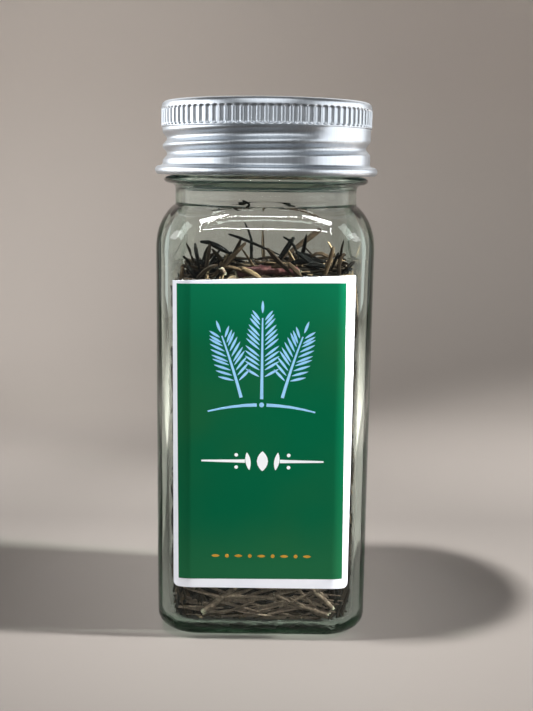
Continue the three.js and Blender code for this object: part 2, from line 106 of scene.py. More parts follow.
class Wire:
    """A value in a material's node tree. Python's operators on it add Math nodes."""

    def __init__(self, tree, socket):
        self.tree = tree
        self.socket = socket

    def node(self, kind, settings=None, sockets=None, output=0):
        """Any node: its type, its settings, and the values or wires of its sockets."""
        made = self.tree.nodes.new(kind)
        for name, value in (settings or {}).items():
            if name == "stops":
                set_stops(made.color_ramp.elements, value)
            else:
                setattr(made, name, value)
        for key, value in (sockets or {}).items():
            if isinstance(value, Wire):
                self.tree.links.new(value.socket, made.inputs[key])
            else:
                made.inputs[key].default_value = value
        return Wire(self.tree, made.outputs[output] if made.outputs else None)

    __add__ = operator_node("ADD")
    __radd__ = operator_node("ADD", swapped=True)
    __sub__ = operator_node("SUBTRACT")
    __rsub__ = operator_node("SUBTRACT", swapped=True)
    __mul__ = operator_node("MULTIPLY")
    __rmul__ = operator_node("MULTIPLY", swapped=True)
    __truediv__ = operator_node("DIVIDE")

    def between(self, low, high):
        """0 below `low`, 1 above `high`, and a smooth step between them."""
        settings = {"interpolation_type": "SMOOTHSTEP"}
        return self.node("ShaderNodeMapRange", settings, {0: self, 1: low, 2: high})

    def parts(self):
        """The three numbers of a vector."""
        made = self.node("ShaderNodeSeparateXYZ", sockets={0: self})
        outputs = made.socket.node.outputs
        return [Wire(self.tree, outputs[i]) for i in range(3)]

    def scaled(self, x, y, z):
        """A vector times three numbers, one for each axis."""
        settings = {"operation": "MULTIPLY"}
        return self.node("ShaderNodeVectorMath", settings, {0: self, 1: (x, y, z)})

    def noise(self, scale, detail=3.0, roughness=0.55):
        """Cloudy noise from 0 to 1 at this place, with about `scale` lumps to a metre."""
        values = {"Vector": self, "Scale": scale, "Detail": detail, "Roughness": roughness}
        return self.node("ShaderNodeTexNoise", sockets=values)

    def ramp(self, *stops):
        """A colour for each level of this value, from (level, colour) pairs."""
        return self.node("ShaderNodeValToRGB", {"stops": stops}, {0: self})

    def mix(self, first, second):
        """`first` where this value is 0 and `second` where it is 1, as colours."""
        settings = {"data_type": "RGBA"}
        return self.node("ShaderNodeMix", settings, {0: self, 6: colour(first), 7: colour(second)}, 2)

    def attribute(self, name):
        """A number that the mesh carries at each of its points."""
        return self.node("ShaderNodeAttribute", {"attribute_name": name}, output="Fac")

    def ray(self, kind):
        """1 for rays of one kind and 0 for the others."""
        return self.node("ShaderNodeLightPath", output=f"Is {kind} Ray")

    def bump(self, strength, depth):
        """A normal from this height, which is `depth` metres deep."""
        values = {"Strength": strength, "Distance": depth, "Height": self}
        return self.node("ShaderNodeBump", sockets=values)


def set_stops(elements, stops):
    while len(elements) < len(stops):
        elements.new(0.5)
    for element, (level, shade) in zip(elements, stops):
        element.position = level
        element.color = colour(shade)


def colour(shade):
    """A colour given as 0 to 255 as on a screen, as Blender's own linear colour. A wire stays a wire."""
    if isinstance(shade, Wire):
        return shade
    linear = [(c / 255 / 12.92) if c <= 10 else ((c / 255 + 0.055) / 1.055) ** 2.4 for c in shade]
    return (*linear, 1.0)


def new_material(name):
    """An empty material, and a wire that carries the place on the piece in metres."""
    material = bpy.data.materials.new(name)
    material.use_nodes = True
    tree = material.node_tree
    tree.nodes.clear()
    return material, Wire(tree, tree.nodes.new("ShaderNodeTexCoord").outputs["Object"])


def principled(place, **values):
    """Blender's all-round surface. Its sockets are named with _ for a space."""
    return place.node(
        "ShaderNodeBsdfPrincipled",
        sockets={name.replace("_", " "): value for name, value in values.items()},
    )


def show(surface, **others):
    """Ends a material: its surface, and its volume if it has one."""
    surface.node("ShaderNodeOutputMaterial", sockets={"Surface": surface, **others})


def surfaced(material, place, **values):
    """The material, ended with one Principled surface."""
    show(principled(place, **values))
    return material


print("wires ready")

# %% [markdown]
# ## Making pieces
#
# Shapes are drawn in millimetres, as on a workshop drawing, and shrunk to metres when they are finished. Each
# piece's object stays at the origin, so its place is in its mesh, and a pattern in its material can use that place.

# %% Finishing a piece
SMOOTH_BELOW = 38


def only(kind, items):
    """The items of one kind, from what a bmesh operator made."""
    return [item for item in items if isinstance(item, kind)]


def finish_piece(bm, name, material, smooth_below=SMOOTH_BELOW):
    """Turns a bmesh in millimetres into an object in metres."""
    bmesh.ops.scale(bm, vec=(MM, MM, MM), verts=bm.verts)
    mesh = bpy.data.meshes.new(name)
    bm.to_mesh(mesh)
    bm.free()
    mesh.shade_smooth()
    mesh.set_sharp_from_angle(angle=math.radians(smooth_below))
    mesh.materials.append(material)
    piece = link(name, mesh)
    mesh.calc_loop_triangles()
    print(f"{name}: {len(mesh.vertices)} vertices, {len(mesh.loop_triangles)} triangles")
    return piece


# %% [markdown]
# ## Stage
#
# The jar stands on a pale warm-grey sheet that runs back and then curves up behind it, as in a small light tent.
# The sheet is a curve in side view, spun nowhere and pushed straight across: one edge chain, extruded once. Its
# colour is painted shading on one plain paper: three shades, from a mid grey underfoot to a paler wall, and painted
# light that makes the wall palest on the left, the side that more of the light comes from.

# %% Sweep
SWEEP_HALF_WIDTH = 900
SWEEP_FRONT_Y = -170
SWEEP_BEND_Y = 185
SWEEP_BEND_R = 150
SWEEP_TOP_Z = 900
SWEEP_BEND_STEPS = 16


def make_sweep():
    bm = bmesh.new()
    rows = [(SWEEP_FRONT_Y, 0), (SWEEP_BEND_Y, 0)]
    for i in range(1, SWEEP_BEND_STEPS + 1):
        angle = i / SWEEP_BEND_STEPS * math.pi / 2
        rows.append(
            (
                SWEEP_BEND_Y + SWEEP_BEND_R * math.sin(angle),
                SWEEP_BEND_R * (1 - math.cos(angle)),
            )
        )
    rows.append((SWEEP_BEND_Y + SWEEP_BEND_R, SWEEP_TOP_Z))
    chain = [bm.verts.new((-SWEEP_HALF_WIDTH, y, z)) for y, z in rows]
    edges = [bm.edges.new(pair) for pair in zip(chain, chain[1:])]
    grown = bmesh.ops.extrude_edge_only(bm, edges=edges)["geom"]
    moved = only(bmesh.types.BMVert, grown)
    bmesh.ops.translate(bm, verts=moved, vec=(2 * SWEEP_HALF_WIDTH, 0, 0))
    bmesh.ops.recalc_face_normals(bm, faces=bm.faces)
    return bm


def warm(level):
    return (level, level * 0.953, level * 0.912)


# Painted shading: one sheet of paper, painted darker on the floor and paler up the wall to stand in for how the light
# falls on it.
FLOOR_SHADE = warm(90)
BEND_SHADE = warm(150)
WALL_SHADE = warm(190)
PAINTED_LIGHT_SHADE = warm(240)
REFLECTOR_SHADE = warm(205)
RUN_START = -0.06
RUN_LENGTH = 0.58
PAINTED_LIGHT_SHARE = 0.35
MIRROR_DIMMING = 0.65


def sweep_material():
    """Matt paper. y + z grows all the way along it, and painted shading makes the paper paler from the floor to the
    wall, with painted light paler still on the left of the wall.

    Outside the picture the paper is nearly white, as reflectors for the edges of the glass would be. In front of
    the jar it is darker to mirrored rays, or its reflection would lie over the foot like a mist.
    """
    material, place = new_material("sweep_sheet")
    x, y, z = place.parts()
    mottle = place.noise(9, 2)
    run = (y + z - RUN_START) / RUN_LENGTH
    # Painted shading from the floor up to the wall.
    sheet = run.ramp((0.2, FLOOR_SHADE), (0.5, BEND_SHADE), (1, WALL_SHADE))
    # Painted light: the wall is paler on the left, the side the light comes from.
    painted_light_side = run.between(0.25, 0.6) * (1 - x.between(-0.2, 0.1))
    sheet = (PAINTED_LIGHT_SHARE * painted_light_side).mix(sheet, PAINTED_LIGHT_SHADE)
    sheet = (x * x).between(0.0235, 0.032).mix(sheet, REFLECTOR_SHADE)
    mirrored = place.ray("Glossy")
    sheet = (MIRROR_DIMMING * mirrored * (1 - y.between(-0.022, -0.018))).mix(sheet, (0, 0, 0))
    rough = 0.5 + 0.1 * mottle
    return surfaced(material, place, Base_Color=sheet, Roughness=rough, Specular_IOR_Level=0.3)


sweep = finish_piece(make_sweep(), "sweep", sweep_material(), 80)

# %% [markdown]
# ## Light
#
# Two small lamps high on the left and right throw the shadows that run out to both sides. Each is a narrow beam that
# is aimed past the jar, so that it is brightest in the other lamp's shadow. A soft panel in front lights the label,
# a broad one overhead fills the rest, and two weak lamps brighten the sheet on the left. None of them is seen by the
# camera, in a mirror image or through the glass.

# %% Lights
def area_light(name, place, target, size, power, spread=180):
    """A rectangle of light that faces a target. Places and sizes are in millimetres."""
    data = bpy.data.lights.new(name, "AREA")
    data.shape = "RECTANGLE"
    data.size, data.size_y = (side * MM for side in size)
    data.energy = power
    data.spread = math.radians(spread)
    lamp = link(name, data)
    aim = (Vector(target) - Vector(place)).to_track_quat("-Z", "Y")
    lamp.matrix_world = Matrix.Translation(Vector(place) * MM) @ aim.to_matrix().to_4x4()
    lamp.visible_camera = False
    return lamp


JAR_MIDDLE = (0, 0, 55)
LAMPS = (
    # name, place, target, size, power, spread
    ("key_left", (-138, -32, 560), (150, 0, 0), (30, 30), 1.1, 42),
    ("key_right", (470, -54, 400), (-150, 0, 0), (40, 40), 0.62, 25),
    ("front_fill", (0, -700, 320), JAR_MIDDLE, (420, 240), 2.4, 180),
    ("roof", (0, 60, 700), JAR_MIDDLE, (900, 700), 1.8, 180),
    ("wash", (-150, 40, 420), (-85, 180, 50), (120, 60), 0.2, 76),
    ("wash_floor", (-120, 150, 420), (-62, 104, 0), (60, 60), 0.055, 34),
)
for values in LAMPS:
    lamp = area_light(*values)
    lamp.visible_glossy = False
    lamp.visible_transmission = False

# %% [markdown]
# Glass and metal show the shapes of lamps, so those shapes are lamps of their own, and light linking lets each of
# them act on one collection only. The glass has a frame of thin bars and panels overhead, which draws the lines
# across its shoulder, a soft patch for each corner and a faint wall on each side. The cap has brighter walls and
# three broad panels, because rough metal smears a small lamp away. Light has to pass many surfaces to get through
# the thick foot and the neck, so the number of bounces is raised.

# %% Highlights
FRAME_Z = 420
FRAME_NEAR_Y = -245
FRAME_FAR_Y = -740
FRAME_HALF_WIDTH = 165
BOUNCES = 32

glass_pieces = bpy.data.collections.new("glass_pieces")
metal_pieces = bpy.data.collections.new("metal_pieces")


def highlight(name, place, target, size, brightness, pieces=glass_pieces):
    """A lamp that is only seen mirrored, and only in the pieces of one collection."""
    power = brightness * math.pi * size[0] * size[1] * MM * MM
    lamp = area_light(name, place, target, size, power)
    lamp.visible_diffuse = False
    lamp.light_linking.receiver_collection = pieces


def overhead(name, x, y, length_x, length_y, brightness):
    highlight(name, (x, y, FRAME_Z), (x, y, 0), (length_x, length_y), brightness)


overhead("bar_near", 0, FRAME_NEAR_Y, 2 * FRAME_HALF_WIDTH, 9, 85)
overhead("bar_far", 0, FRAME_FAR_Y, 2 * FRAME_HALF_WIDTH, 40, 80)
side_y = (FRAME_NEAR_Y + FRAME_FAR_Y) / 2
for side in (-1, 1):
    overhead("bar_side", side * FRAME_HALF_WIDTH, side_y, 6, FRAME_NEAR_Y - FRAME_FAR_Y, 50)
    overhead("panel_side", side * 105, -90, 110, 150, 45)
    highlight("corner_patch", (side * 470, -120, 410), JAR_MIDDLE, (230, 190), 5)
    highlight("wall", (side * 400, -40, 215), (0, -40, 215), (700, 400), 0.45)
    highlight("cap_wall", (side * 390, 60, 160), (0, 60, 160), (700, 420), 2.35 - 0.4 * side, metal_pieces)
highlight("cap_front", (0, -600, 60), (0, 0, 100), (500, 500), 0.3, metal_pieces)
highlight("cap_crown", (0, 240, 270), (0, 0, 113), (400, 160), 1.3, metal_pieces)
highlight("cap_roof", (0, -320, 420), (0, 0, 110), (360, 400), 1.8, metal_pieces)

world = bpy.data.worlds.new("tent")
world.use_nodes = True
bpy.context.scene.world = world
world.node_tree.nodes["Background"].inputs["Color"].default_value = colour((140, 140, 142))
world.node_tree.nodes["Background"].inputs["Strength"].default_value = 0.15
bpy.context.scene.cycles.max_bounces = BOUNCES
bpy.context.scene.cycles.transmission_bounces = BOUNCES
bpy.context.scene.cycles.glossy_bounces = 12

# %% [markdown]
# ## The glass
#
# The jar is blown into a square mould, so its plan is a square with round corners that turns into a circle at the
# neck. A lathe can't turn a square, but Spin can make the rings, and each ring can then be pushed out to its own
# square. Each point of the profile therefore carries two numbers: `half`, half the ring's width, and `corner`, the
# radius of its corners. Where the two are the same the ring is a circle. Inside and outside are one closed skin, so
# that light bends as it does in a real wall.

# %% Jar dimensions
BODY_HALF = 22.5
BODY_CORNER = 7.9
WALL = 2.4
INNER_HALF = BODY_HALF - WALL
INNER_CORNER = BODY_CORNER - WALL
HEEL_R = 3.8
RING_INNER = 16.8
PUSH_UP = 1.1
FLOOR_Z = 1.8
FLOOR_CENTRE_Z = 2.4
INNER_HEEL_R = 3.2
SHOULDER_Z = 82.0
SHOULDER_TOP_Z = 91.2
INNER_SHOULDER_Z = 80.6
INNER_SHOULDER_TOP_Z = 91.0
NECK_R = 19.75
FINISH_R = 20.6
FINISH_Z = 97.2
BORE_R = 17.9
RIM_Z = 111.3


def smooth_step(value, low, high):
    share = min(max((value - low) / (high - low), 0.0), 1.0)
    return share * share * (3 - 2 * share)


def shoulder_rows(half, corner, neck_r, from_z, to_z, steps):
    """Rings of a shoulder that goes from a square to a circle, the corners on a fuller curve than the flats."""
    rows = []
    root2 = math.sqrt(2)
    reach = (half - corner) * root2 + corner
    for i in range(steps):
        t = math.sin(i / steps * math.pi / 2)
        flat = neck_r + (half - neck_r) * (1 - t**2.8) ** 0.85
        diagonal = neck_r + (reach - neck_r) * (1 - t**2.2) ** 0.7
        row_corner = (flat * root2 - diagonal) / (root2 - 1)
        rows.append((flat, min(row_corner, flat), from_z + (to_z - from_z) * t))
    return rows


def even_rows(half, corner, from_z, to_z, step):
    """Rings of a straight stretch, about `step` apart, without its last one."""
    count = max(1, round(abs(to_z - from_z) / step))
    return [(half, corner, from_z + (to_z - from_z) * i / count) for i in range(count)]


def round_rows(*pairs):
    return [(r, r, z) for r, z in pairs]


def base_corner(half):
    """A circle in the middle of the base that turns into the body's square."""
    return half * (1 - (1 - BODY_CORNER / BODY_HALF) * min(half / RING_INNER, 1) ** 1.4)


def quarter_rows(centre_half, centre_z, radius, from_angle, to_angle, steps, corner_share):
    rows = []
    for i in range(steps + 1):
        angle = from_angle + (to_angle - from_angle) * i / steps
        half = centre_half + radius * math.cos(angle)
        rows.append((half, half * corner_share, centre_z + radius * math.sin(angle)))
    return rows


def outer_rows():
    rows = []
    for half in (0, 2, 4, 6, 8, 10, 12, 13.5, 15, 16.2):
        rows.append((half, base_corner(half), PUSH_UP * (1 - (half / RING_INNER) ** 3)))
    heel_half = BODY_HALF - HEEL_R
    rows.append((RING_INNER, base_corner(RING_INNER), 0))
    quarter = (heel_half, HEEL_R, HEEL_R, -math.pi / 2, 0, 12, BODY_CORNER / BODY_HALF)
    rows += quarter_rows(*quarter)
    rows += even_rows(BODY_HALF, BODY_CORNER, HEEL_R + 3, SHOULDER_Z, 4)
    rows += shoulder_rows(BODY_HALF, BODY_CORNER, NECK_R, SHOULDER_Z, SHOULDER_TOP_Z, 26)
    rows += round_rows(
        (19.82, 91.4), (19.77, 91.8), (NECK_R, 92.4), (NECK_R, 93.6), (NECK_R, 94.6), (19.85, 95.0),
        (20.15, 95.3), (20.8, 95.55), (21.5, 95.7), (21.95, 95.95), (22.2, 96.35), (22.1, 96.75),
        (21.7, 97.05), (21.0, FINISH_Z), (FINISH_R, FINISH_Z + 0.15),
    )
    rows += even_rows(FINISH_R, FINISH_R, FINISH_Z + 0.5, 110.6, 0.35)
    return rows + round_rows((FINISH_R, 110.6), (20.5, 110.95), (20.3, 111.2), (20.05, RIM_Z))


def inner_rows():
    rows = round_rows((19.0, RIM_Z), (18.4, RIM_Z), (18.1, 111.15), (17.95, 110.9), (BORE_R, 110.5))
    rows += even_rows(BORE_R, BORE_R, 110, 92.2, 1.2)
    rows += round_rows((BORE_R, 92.2), (17.92, 91.5))
    shoulder = (INNER_HALF, INNER_CORNER, BORE_R, INNER_SHOULDER_Z, INNER_SHOULDER_TOP_Z, 22)
    rows += reversed(shoulder_rows(*shoulder))
    rows += even_rows(INNER_HALF, INNER_CORNER, INNER_SHOULDER_Z - 3, FLOOR_Z + INNER_HEEL_R, 4)
    quarter_half = INNER_HALF - INNER_HEEL_R
    share = INNER_CORNER / INNER_HALF
    quarter = (quarter_half, FLOOR_Z + INNER_HEEL_R, INNER_HEEL_R, 0, -math.pi / 2, 9, share)
    rows += quarter_rows(*quarter)
    for half in (14.5, 12, 9, 6, 3, 0):
        z = FLOOR_CENTRE_Z - (FLOOR_CENTRE_Z - FLOOR_Z) * (half / quarter_half) ** 2
        corner = half * (1 - (1 - share) * half / quarter_half)
        rows.append((half, corner, z))
    return rows


print("rings:", len(outer_rows()), "outside and", len(inner_rows()), "inside")

# %% [markdown]
# Spin makes the rings from one chain of points. It is slow at hundreds of steps, so it makes an eighth of the turn,
# and that sector is copied round and merged. The chain starts half a step off the axis, so that no column of points
# stands in the middle of a flat side, where the square formula changes sign. The broad flats are then cut into
# narrower strips, because a real jar's walls are a little wavy and the waves need points to live on.

# %% Spin the jar
SECTORS = 8
JAR_COLUMNS = 128
FLAT_CUTS = 9
INNER_WAVE = 0.09
OUTER_WAVE = 0.025
WAVE_LENGTH = 11.0
FLOOR_WAVE = 0.14
FLOOR_WAVE_LENGTH = 3.6


def spin_chain(bm, chain, columns):
    """Spins a chain of points about the Z axis, and closes its seam and poles."""
    edges = [bm.edges.new(pair) for pair in zip(chain, chain[1:])]
    bmesh.ops.spin(
        bm,
        geom=chain + edges,
        cent=(0, 0, 0),
        axis=(0, 0, 1),
        angle=TAU / SECTORS,
        steps=columns // SECTORS,
        use_merge=False,
    )
    sector = list(bm.verts) + list(bm.edges) + list(bm.faces)
    for i in range(1, SECTORS):
        copied = bmesh.ops.duplicate(bm, geom=sector)["geom"]
        moved = only(bmesh.types.BMVert, copied)
        turn = Matrix.Rotation(i * TAU / SECTORS, 3, "Z")
        bmesh.ops.rotate(bm, verts=moved, cent=(0, 0, 0), matrix=turn)
    bmesh.ops.remove_doubles(bm, verts=bm.verts, dist=1e-4)
    bmesh.ops.recalc_face_normals(bm, faces=bm.faces)


def square_point(half, corner, angle):
    """Where a square ring passes at an angle, with 0 at +X."""
    c, s = math.cos(angle), math.sin(angle)
    straight = half - corner
    return (
        math.copysign(straight, c) + corner * c,
        math.copysign(straight, s) + corner * s,
    )


def crosses_flat(edge):
    """True for a long level edge that crosses one of the four flat sides."""
    a, b = edge.verts[0].co, edge.verts[1].co
    level = abs(a.z - b.z) < 0.01 and (a - b).length > 1.5
    return level and (a.x * b.x < 0) != (a.y * b.y < 0)


def square_lathe(profiles, columns):
    """Spins rings of (half, corner, z), pushes each out to its own square, and cuts the flats into strips."""
    bm = bmesh.new()
    half_of, corner_of, inside_of = (bm.verts.layers.float.new(name) for name in ("half", "corner", "inside"))
    off_axis = Matrix.Rotation(math.pi / columns, 3, "Z")
    chain = []
    for side, rows in enumerate(profiles):
        for half, corner, z in rows:
            vert = bm.verts.new(off_axis @ Vector((half, 0, z)))
            vert[half_of], vert[corner_of], vert[inside_of] = half, corner, side
            chain.append(vert)
    spin_chain(bm, chain, columns)
    for vert in bm.verts:
        angle = math.atan2(vert.co.y, vert.co.x)
        vert.co.x, vert.co.y = square_point(vert[half_of], vert[corner_of], angle)
    flats = [edge for edge in bm.edges if crosses_flat(edge)]
    bmesh.ops.subdivide_edges(bm, edges=flats, cuts=FLAT_CUTS, use_grid_fill=True)
    bm.normal_update()
    return bm


bm = square_lathe((outer_rows(), inner_rows()), JAR_COLUMNS)
print("points in the jar:", len(bm.verts))

# %% [markdown]
# Two finishing touches are moved in point by point. The walls get their slow waves, larger inside than outside,
# because only the outside touched the mould. The neck gets its screw thread: a ridge that climbs by one pitch a
# turn, half a pitch above the groove that is rolled into the cap.

# %% Waves and thread
PITCH = 3.175
GROOVE_START_Z = 106.2
GROOVE_START = math.radians(41)
GROOVE_TURNS = 1.5
RIDGE_R = 0.95
RIDGE_HEIGHT = 1.05
RIDGE_TURNS = (-0.36, 1.04)


def turns_from_front(x, y):
    """The share of a turn from the groove's upper end to a point, going clockwise seen from above."""
    azimuth = math.atan2(x, -y)
    return ((GROOVE_START - azimuth) % TAU) / TAU


def ridge_height(x, y, z):
    turn = turns_from_front(x, y) - 1
    height = 0.0
    while turn < RIDGE_TURNS[1]:
        if turn > RIDGE_TURNS[0]:
            away = z - (GROOVE_START_Z + PITCH / 2 - turn * PITCH)
            if abs(away) < RIDGE_R:
                ends = smooth_step(turn, RIDGE_TURNS[0], RIDGE_TURNS[0] + 0.1)
                ends *= 1 - smooth_step(turn, RIDGE_TURNS[1] - 0.1, RIDGE_TURNS[1])
                height = max(height, ends * RIDGE_HEIGHT * math.cos(away / RIDGE_R * math.pi / 2) ** 0.8)
        turn += 1
    return height


inside_of = bm.verts.layers.float["inside"]
moves = []
for vert in bm.verts:
    co, inside = vert.co, vert[inside_of]
    wave = noise.noise(co / WAVE_LENGTH + Vector((inside * 7, 0, 0)))
    move = vert.normal * wave * (INNER_WAVE if inside > 0.5 else OUTER_WAVE)
    if inside > 0.5 and co.z < FLOOR_CENTRE_Z + 0.2:
        move.z += FLOOR_WAVE * noise.noise(co / FLOOR_WAVE_LENGTH)
    if inside < 0.5 and FINISH_Z + 0.4 < co.z < 110.7:
        move += Vector((co.x, co.y, 0)).normalized() * ridge_height(co.x, co.y, co.z)
    moves.append((vert, move))
for vert, move in moves:
    vert.co += move
print("largest move, mm:", round(max(move.length for _, move in moves), 2))

# %% [markdown]
# Clear glass is one Principled surface with its transmission at 1. Ordinary soda glass has a little iron in it,
# which shows as green where light has come a long way through it: at the edges, the neck and the thick base. That
# is a volume, not a paint, so it comes from an absorption in the glass. The underside is stippled, as moulded jars
# are, with a bump that stays near the base. Shadow rays and diffuse rays pass straight through, a little dimmed at
# the foot, so that the herbs inside are lit and no bright spots are thrown on the sheet. Shadow rays skip the tint.

# %% Glass
GLASS_IOR = 1.5
GLASS_DENSITY = 95.0
GLASS_TINT = (184, 222, 203)
STIPPLE_SCALE = 1300
STIPPLE_TOP = 0.0017


def glass_material():
    material, place = new_material("jar_glass")
    z = place.parts()[2]
    seeds = place.noise(420, 2)
    dimples = place.node("ShaderNodeTexVoronoi", sockets={"Vector": place, "Scale": STIPPLE_SCALE})
    underside = 1 - z.between(STIPPLE_TOP * 0.6, STIPPLE_TOP)
    crinkle = place.noise(850, 2) * (1 - z.between(0.0028, 0.0058))
    height = dimples * underside + 4 * crinkle + 0.04 * seeds
    surface = principled(
        place,
        Base_Color=(1, 1, 1, 1),
        Roughness=0.0,
        IOR=GLASS_IOR,
        Specular_IOR_Level=0.2,
        Transmission_Weight=1.0,
        Normal=height.bump(0.5, 0.00012),
    )
    clear = place.node("ShaderNodeBsdfTransparent", sockets={"Color": colour((243, 248, 245))})
    dim = place.node("ShaderNodeBsdfTransparent", sockets={"Color": colour((225, 233, 228))})
    foot = 1 - z.between(0.001, 0.006)
    passed = place.node("ShaderNodeMixShader", sockets={0: foot, 1: clear, 2: dim})
    shadow_ray = place.ray("Shadow")
    diffuse_ray = place.ray("Diffuse")
    lit = place.node(
        "ShaderNodeMixShader", sockets={0: shadow_ray + diffuse_ray, 1: surface, 2: passed}
    )
    body = place.node(
        "ShaderNodeVolumeAbsorption", sockets={"Color": colour(GLASS_TINT), "Density": GLASS_DENSITY}
    )
    show(lit, Volume=place.node("ShaderNodeMixShader", sockets={0: shadow_ray, 1: body}))
    return material


jar = finish_piece(bm, "glass_jar", glass_material(), 60)
glass_pieces.objects.link(jar)
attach(jar, "jar_body")
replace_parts(jar, "jar")

# %% [markdown]
# ## The cap
#
# The cap is one disc of aluminium sheet, drawn into a cup. Its rim is rolled outwards into a bead, its screw groove
# is rolled in on the jar, and its upper edge is pressed full of short flutes to give the fingers a grip. Spin makes
# the cup with six columns of points to each flute. The flutes and the groove are then pressed in by moving points
# inwards, which is close to what the rollers do.

# %% Cap profile
FLUTES = 88
COLUMNS_PER_FLUTE = 6
FLUTE_BOTTOM_Z = 107.55
FLUTE_TOP_Z = 111.45
FLUTE_DEPTH = 0.42
FLUTE_FLOOR_HALF = 0.36
FLUTE_HALF = 0.66
CAP_TOP_Z = 112.9
CAP_SHEET = 0.35
SKIRT_R = 22.45
LAND_R = 22.65
GROOVE_DEPTH = 0.95
GROOVE_BAND = (100.05, 107.3)
GROOVE_LEAN = 0.9
CURL_R = 0.93
CURL_CENTRE = (23.17, 98.44)


def cap_outer_rows():
    rows = [(0, 112.76), (5, 112.76), (10, 112.76), (15, 112.77), (17.8, 112.78), (18.5, 112.8)]
    rows += [(19.0, 112.85), (19.5, 112.89), (20.1, CAP_TOP_Z), (20.8, CAP_TOP_Z), (21.3, 112.87)]
    for i in range(1, 7):
        angle = math.radians(90 - 15 * i)
        rows.append((21.45 + 1.15 * math.cos(angle), 111.72 + 1.15 * math.sin(angle)))
    z = 111.55
    while z > FLUTE_BOTTOM_Z - 0.1:
        rows.append((LAND_R, z))
        near_end = min(abs(z - FLUTE_TOP_Z), abs(z - FLUTE_BOTTOM_Z)) < 0.75
        z -= 0.125 if near_end else 0.4
    rows += [(22.62, 107.42), (22.53, 107.34)]
    count = 46
    for i in range(count + 1):
        rows.append((SKIRT_R, GROOVE_BAND[1] + (GROOVE_BAND[0] - GROOVE_BAND[1]) * i / count))
    rows += [(22.47, 99.85), (22.55, 99.66), (22.7, 99.53)]
    for i in range(15):
        angle = math.radians(95 - i * 15.5)
        rows.append((CURL_CENTRE[0] + CURL_R * math.cos(angle), CURL_CENTRE[1] + CURL_R * math.sin(angle)))
    return rows


def cap_inner_rows():
    inner_r = SKIRT_R - CAP_SHEET
    rows = [(22.3, 97.9), (22.16, 98.3), (inner_r, 98.9), (inner_r, 99.6)]
    count = 18
    for i in range(count + 1):
        rows.append((inner_r, GROOVE_BAND[0] + (GROOVE_BAND[1] - GROOVE_BAND[0]) * i / count))
    rows += [(21.9, 107.6), (21.9, 109.5), (21.9, 111.3), (21.85, 111.9), (21.6, 112.3)]
    return rows + [(21.1, 112.5), (20.0, 112.53), (12, 112.42), (0, 112.4)]


def groove_at(x, y, z):
    """How deep the rolled groove is at a point, from 0 to 1. It is a trough that leans a little downwards."""
    turn = turns_from_front(x, y)
    deepest = 0.0
    while turn < GROOVE_TURNS:
        rise = (z - (GROOVE_START_Z - turn * PITCH)) / PITCH + 0.5
        if 0 < rise < 1:
            ends = smooth_step(turn, 0, 0.09) * smooth_step(GROOVE_TURNS - turn, 0, 0.15)
            deepest = max(deepest, math.sin(math.pi * rise**GROOVE_LEAN) ** 2 * ends)
        turn += 1
    return deepest


def flute_at(x, y, z):
    """How deep a flute is at a point, from 0 to 1: a slot with round ends."""
    step = TAU / FLUTES
    azimuth = math.atan2(x, -y)
    across = (azimuth / step - math.floor(azimuth / step) - 0.5) * step * LAND_R
    beyond = max(z - (FLUTE_TOP_Z - FLUTE_HALF), FLUTE_BOTTOM_Z + FLUTE_HALF - z, 0)
    return 1 - smooth_step(math.hypot(across, beyond), FLUTE_FLOOR_HALF, FLUTE_HALF)


print("cap rings:", len(cap_outer_rows()), "outside,", len(cap_inner_rows()), "inside")

# %% [markdown]
# The spun cup has flutes and a groove pressed into it, point by point. The flutes are on the outside only, and the
# groove is in both faces of the sheet, as a roller leaves it.

# %% Press the cap
bm = bmesh.new()
outside_of = bm.verts.layers.float.new("outside")
half_step = Matrix.Rotation(math.pi / (FLUTES * COLUMNS_PER_FLUTE), 3, "Z")
chain = []
for outside, rows in ((1, cap_outer_rows()), (0, cap_inner_rows())):
    for r, z in rows:
        vert = bm.verts.new(half_step @ Vector((r, 0, z)))
        vert[outside_of] = outside
        chain.append(vert)
spin_chain(bm, chain, FLUTES * COLUMNS_PER_FLUTE)
for vert in bm.verts:
    x, y, z = vert.co
    inwards = 0.0
    if GROOVE_BAND[0] < z < GROOVE_BAND[1]:
        inwards = GROOVE_DEPTH * groove_at(x, y, z)
    elif vert[outside_of] > 0.5 and FLUTE_BOTTOM_Z < z < FLUTE_TOP_Z:
        inwards = FLUTE_DEPTH * flute_at(x, y, z)
    if inwards:
        vert.co -= Vector((x, y, 0)).normalized() * inwards

# %% [markdown]
# Bare aluminium is a metal with a soft, slightly streaky gloss. Drawing the sheet into a cup leaves fine scratches
# that run up and down the skirt, and the disc on top keeps the grain of the rolled sheet. Both are the same noise,
# stretched: along Z for the skirt, and along X for the disc.

# %% Aluminium
def aluminium_material():
    material, place = new_material("cap_aluminium")
    z = place.parts()[2]
    on_top = z.between(0.1124, 0.1127)
    drawn = place.scaled(1, 1, 0.025).noise(2600, 2, 0.6)
    rolled = place.scaled(0.02, 1, 1).noise(2600, 2, 0.6)
    grain = drawn * (1 - on_top) + rolled * on_top
    cloud = place.noise(90, 3)
    shade = (0.6 * grain + 0.4 * cloud).ramp((0.25, (184, 192, 201)), (0.75, (212, 219, 226)))
    return surfaced(
        material,
        place,
        Base_Color=shade,
        Metallic=1.0,
        Roughness=0.28 + 0.12 * grain + 0.05 * cloud,
        Normal=grain.bump(0.2, 0.00002),
    )


cap = finish_piece(bm, "screw_cap", aluminium_material(), 50)
metal_pieces.objects.link(cap)
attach(cap, "cap_body")
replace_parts(cap, "cap")

# %% [markdown]
# The liner is a disc of white foam that the cap presses on the rim. It is plain and round, so the CAD node stays,
# and only its material changes: a fine cell pattern on a soft white.

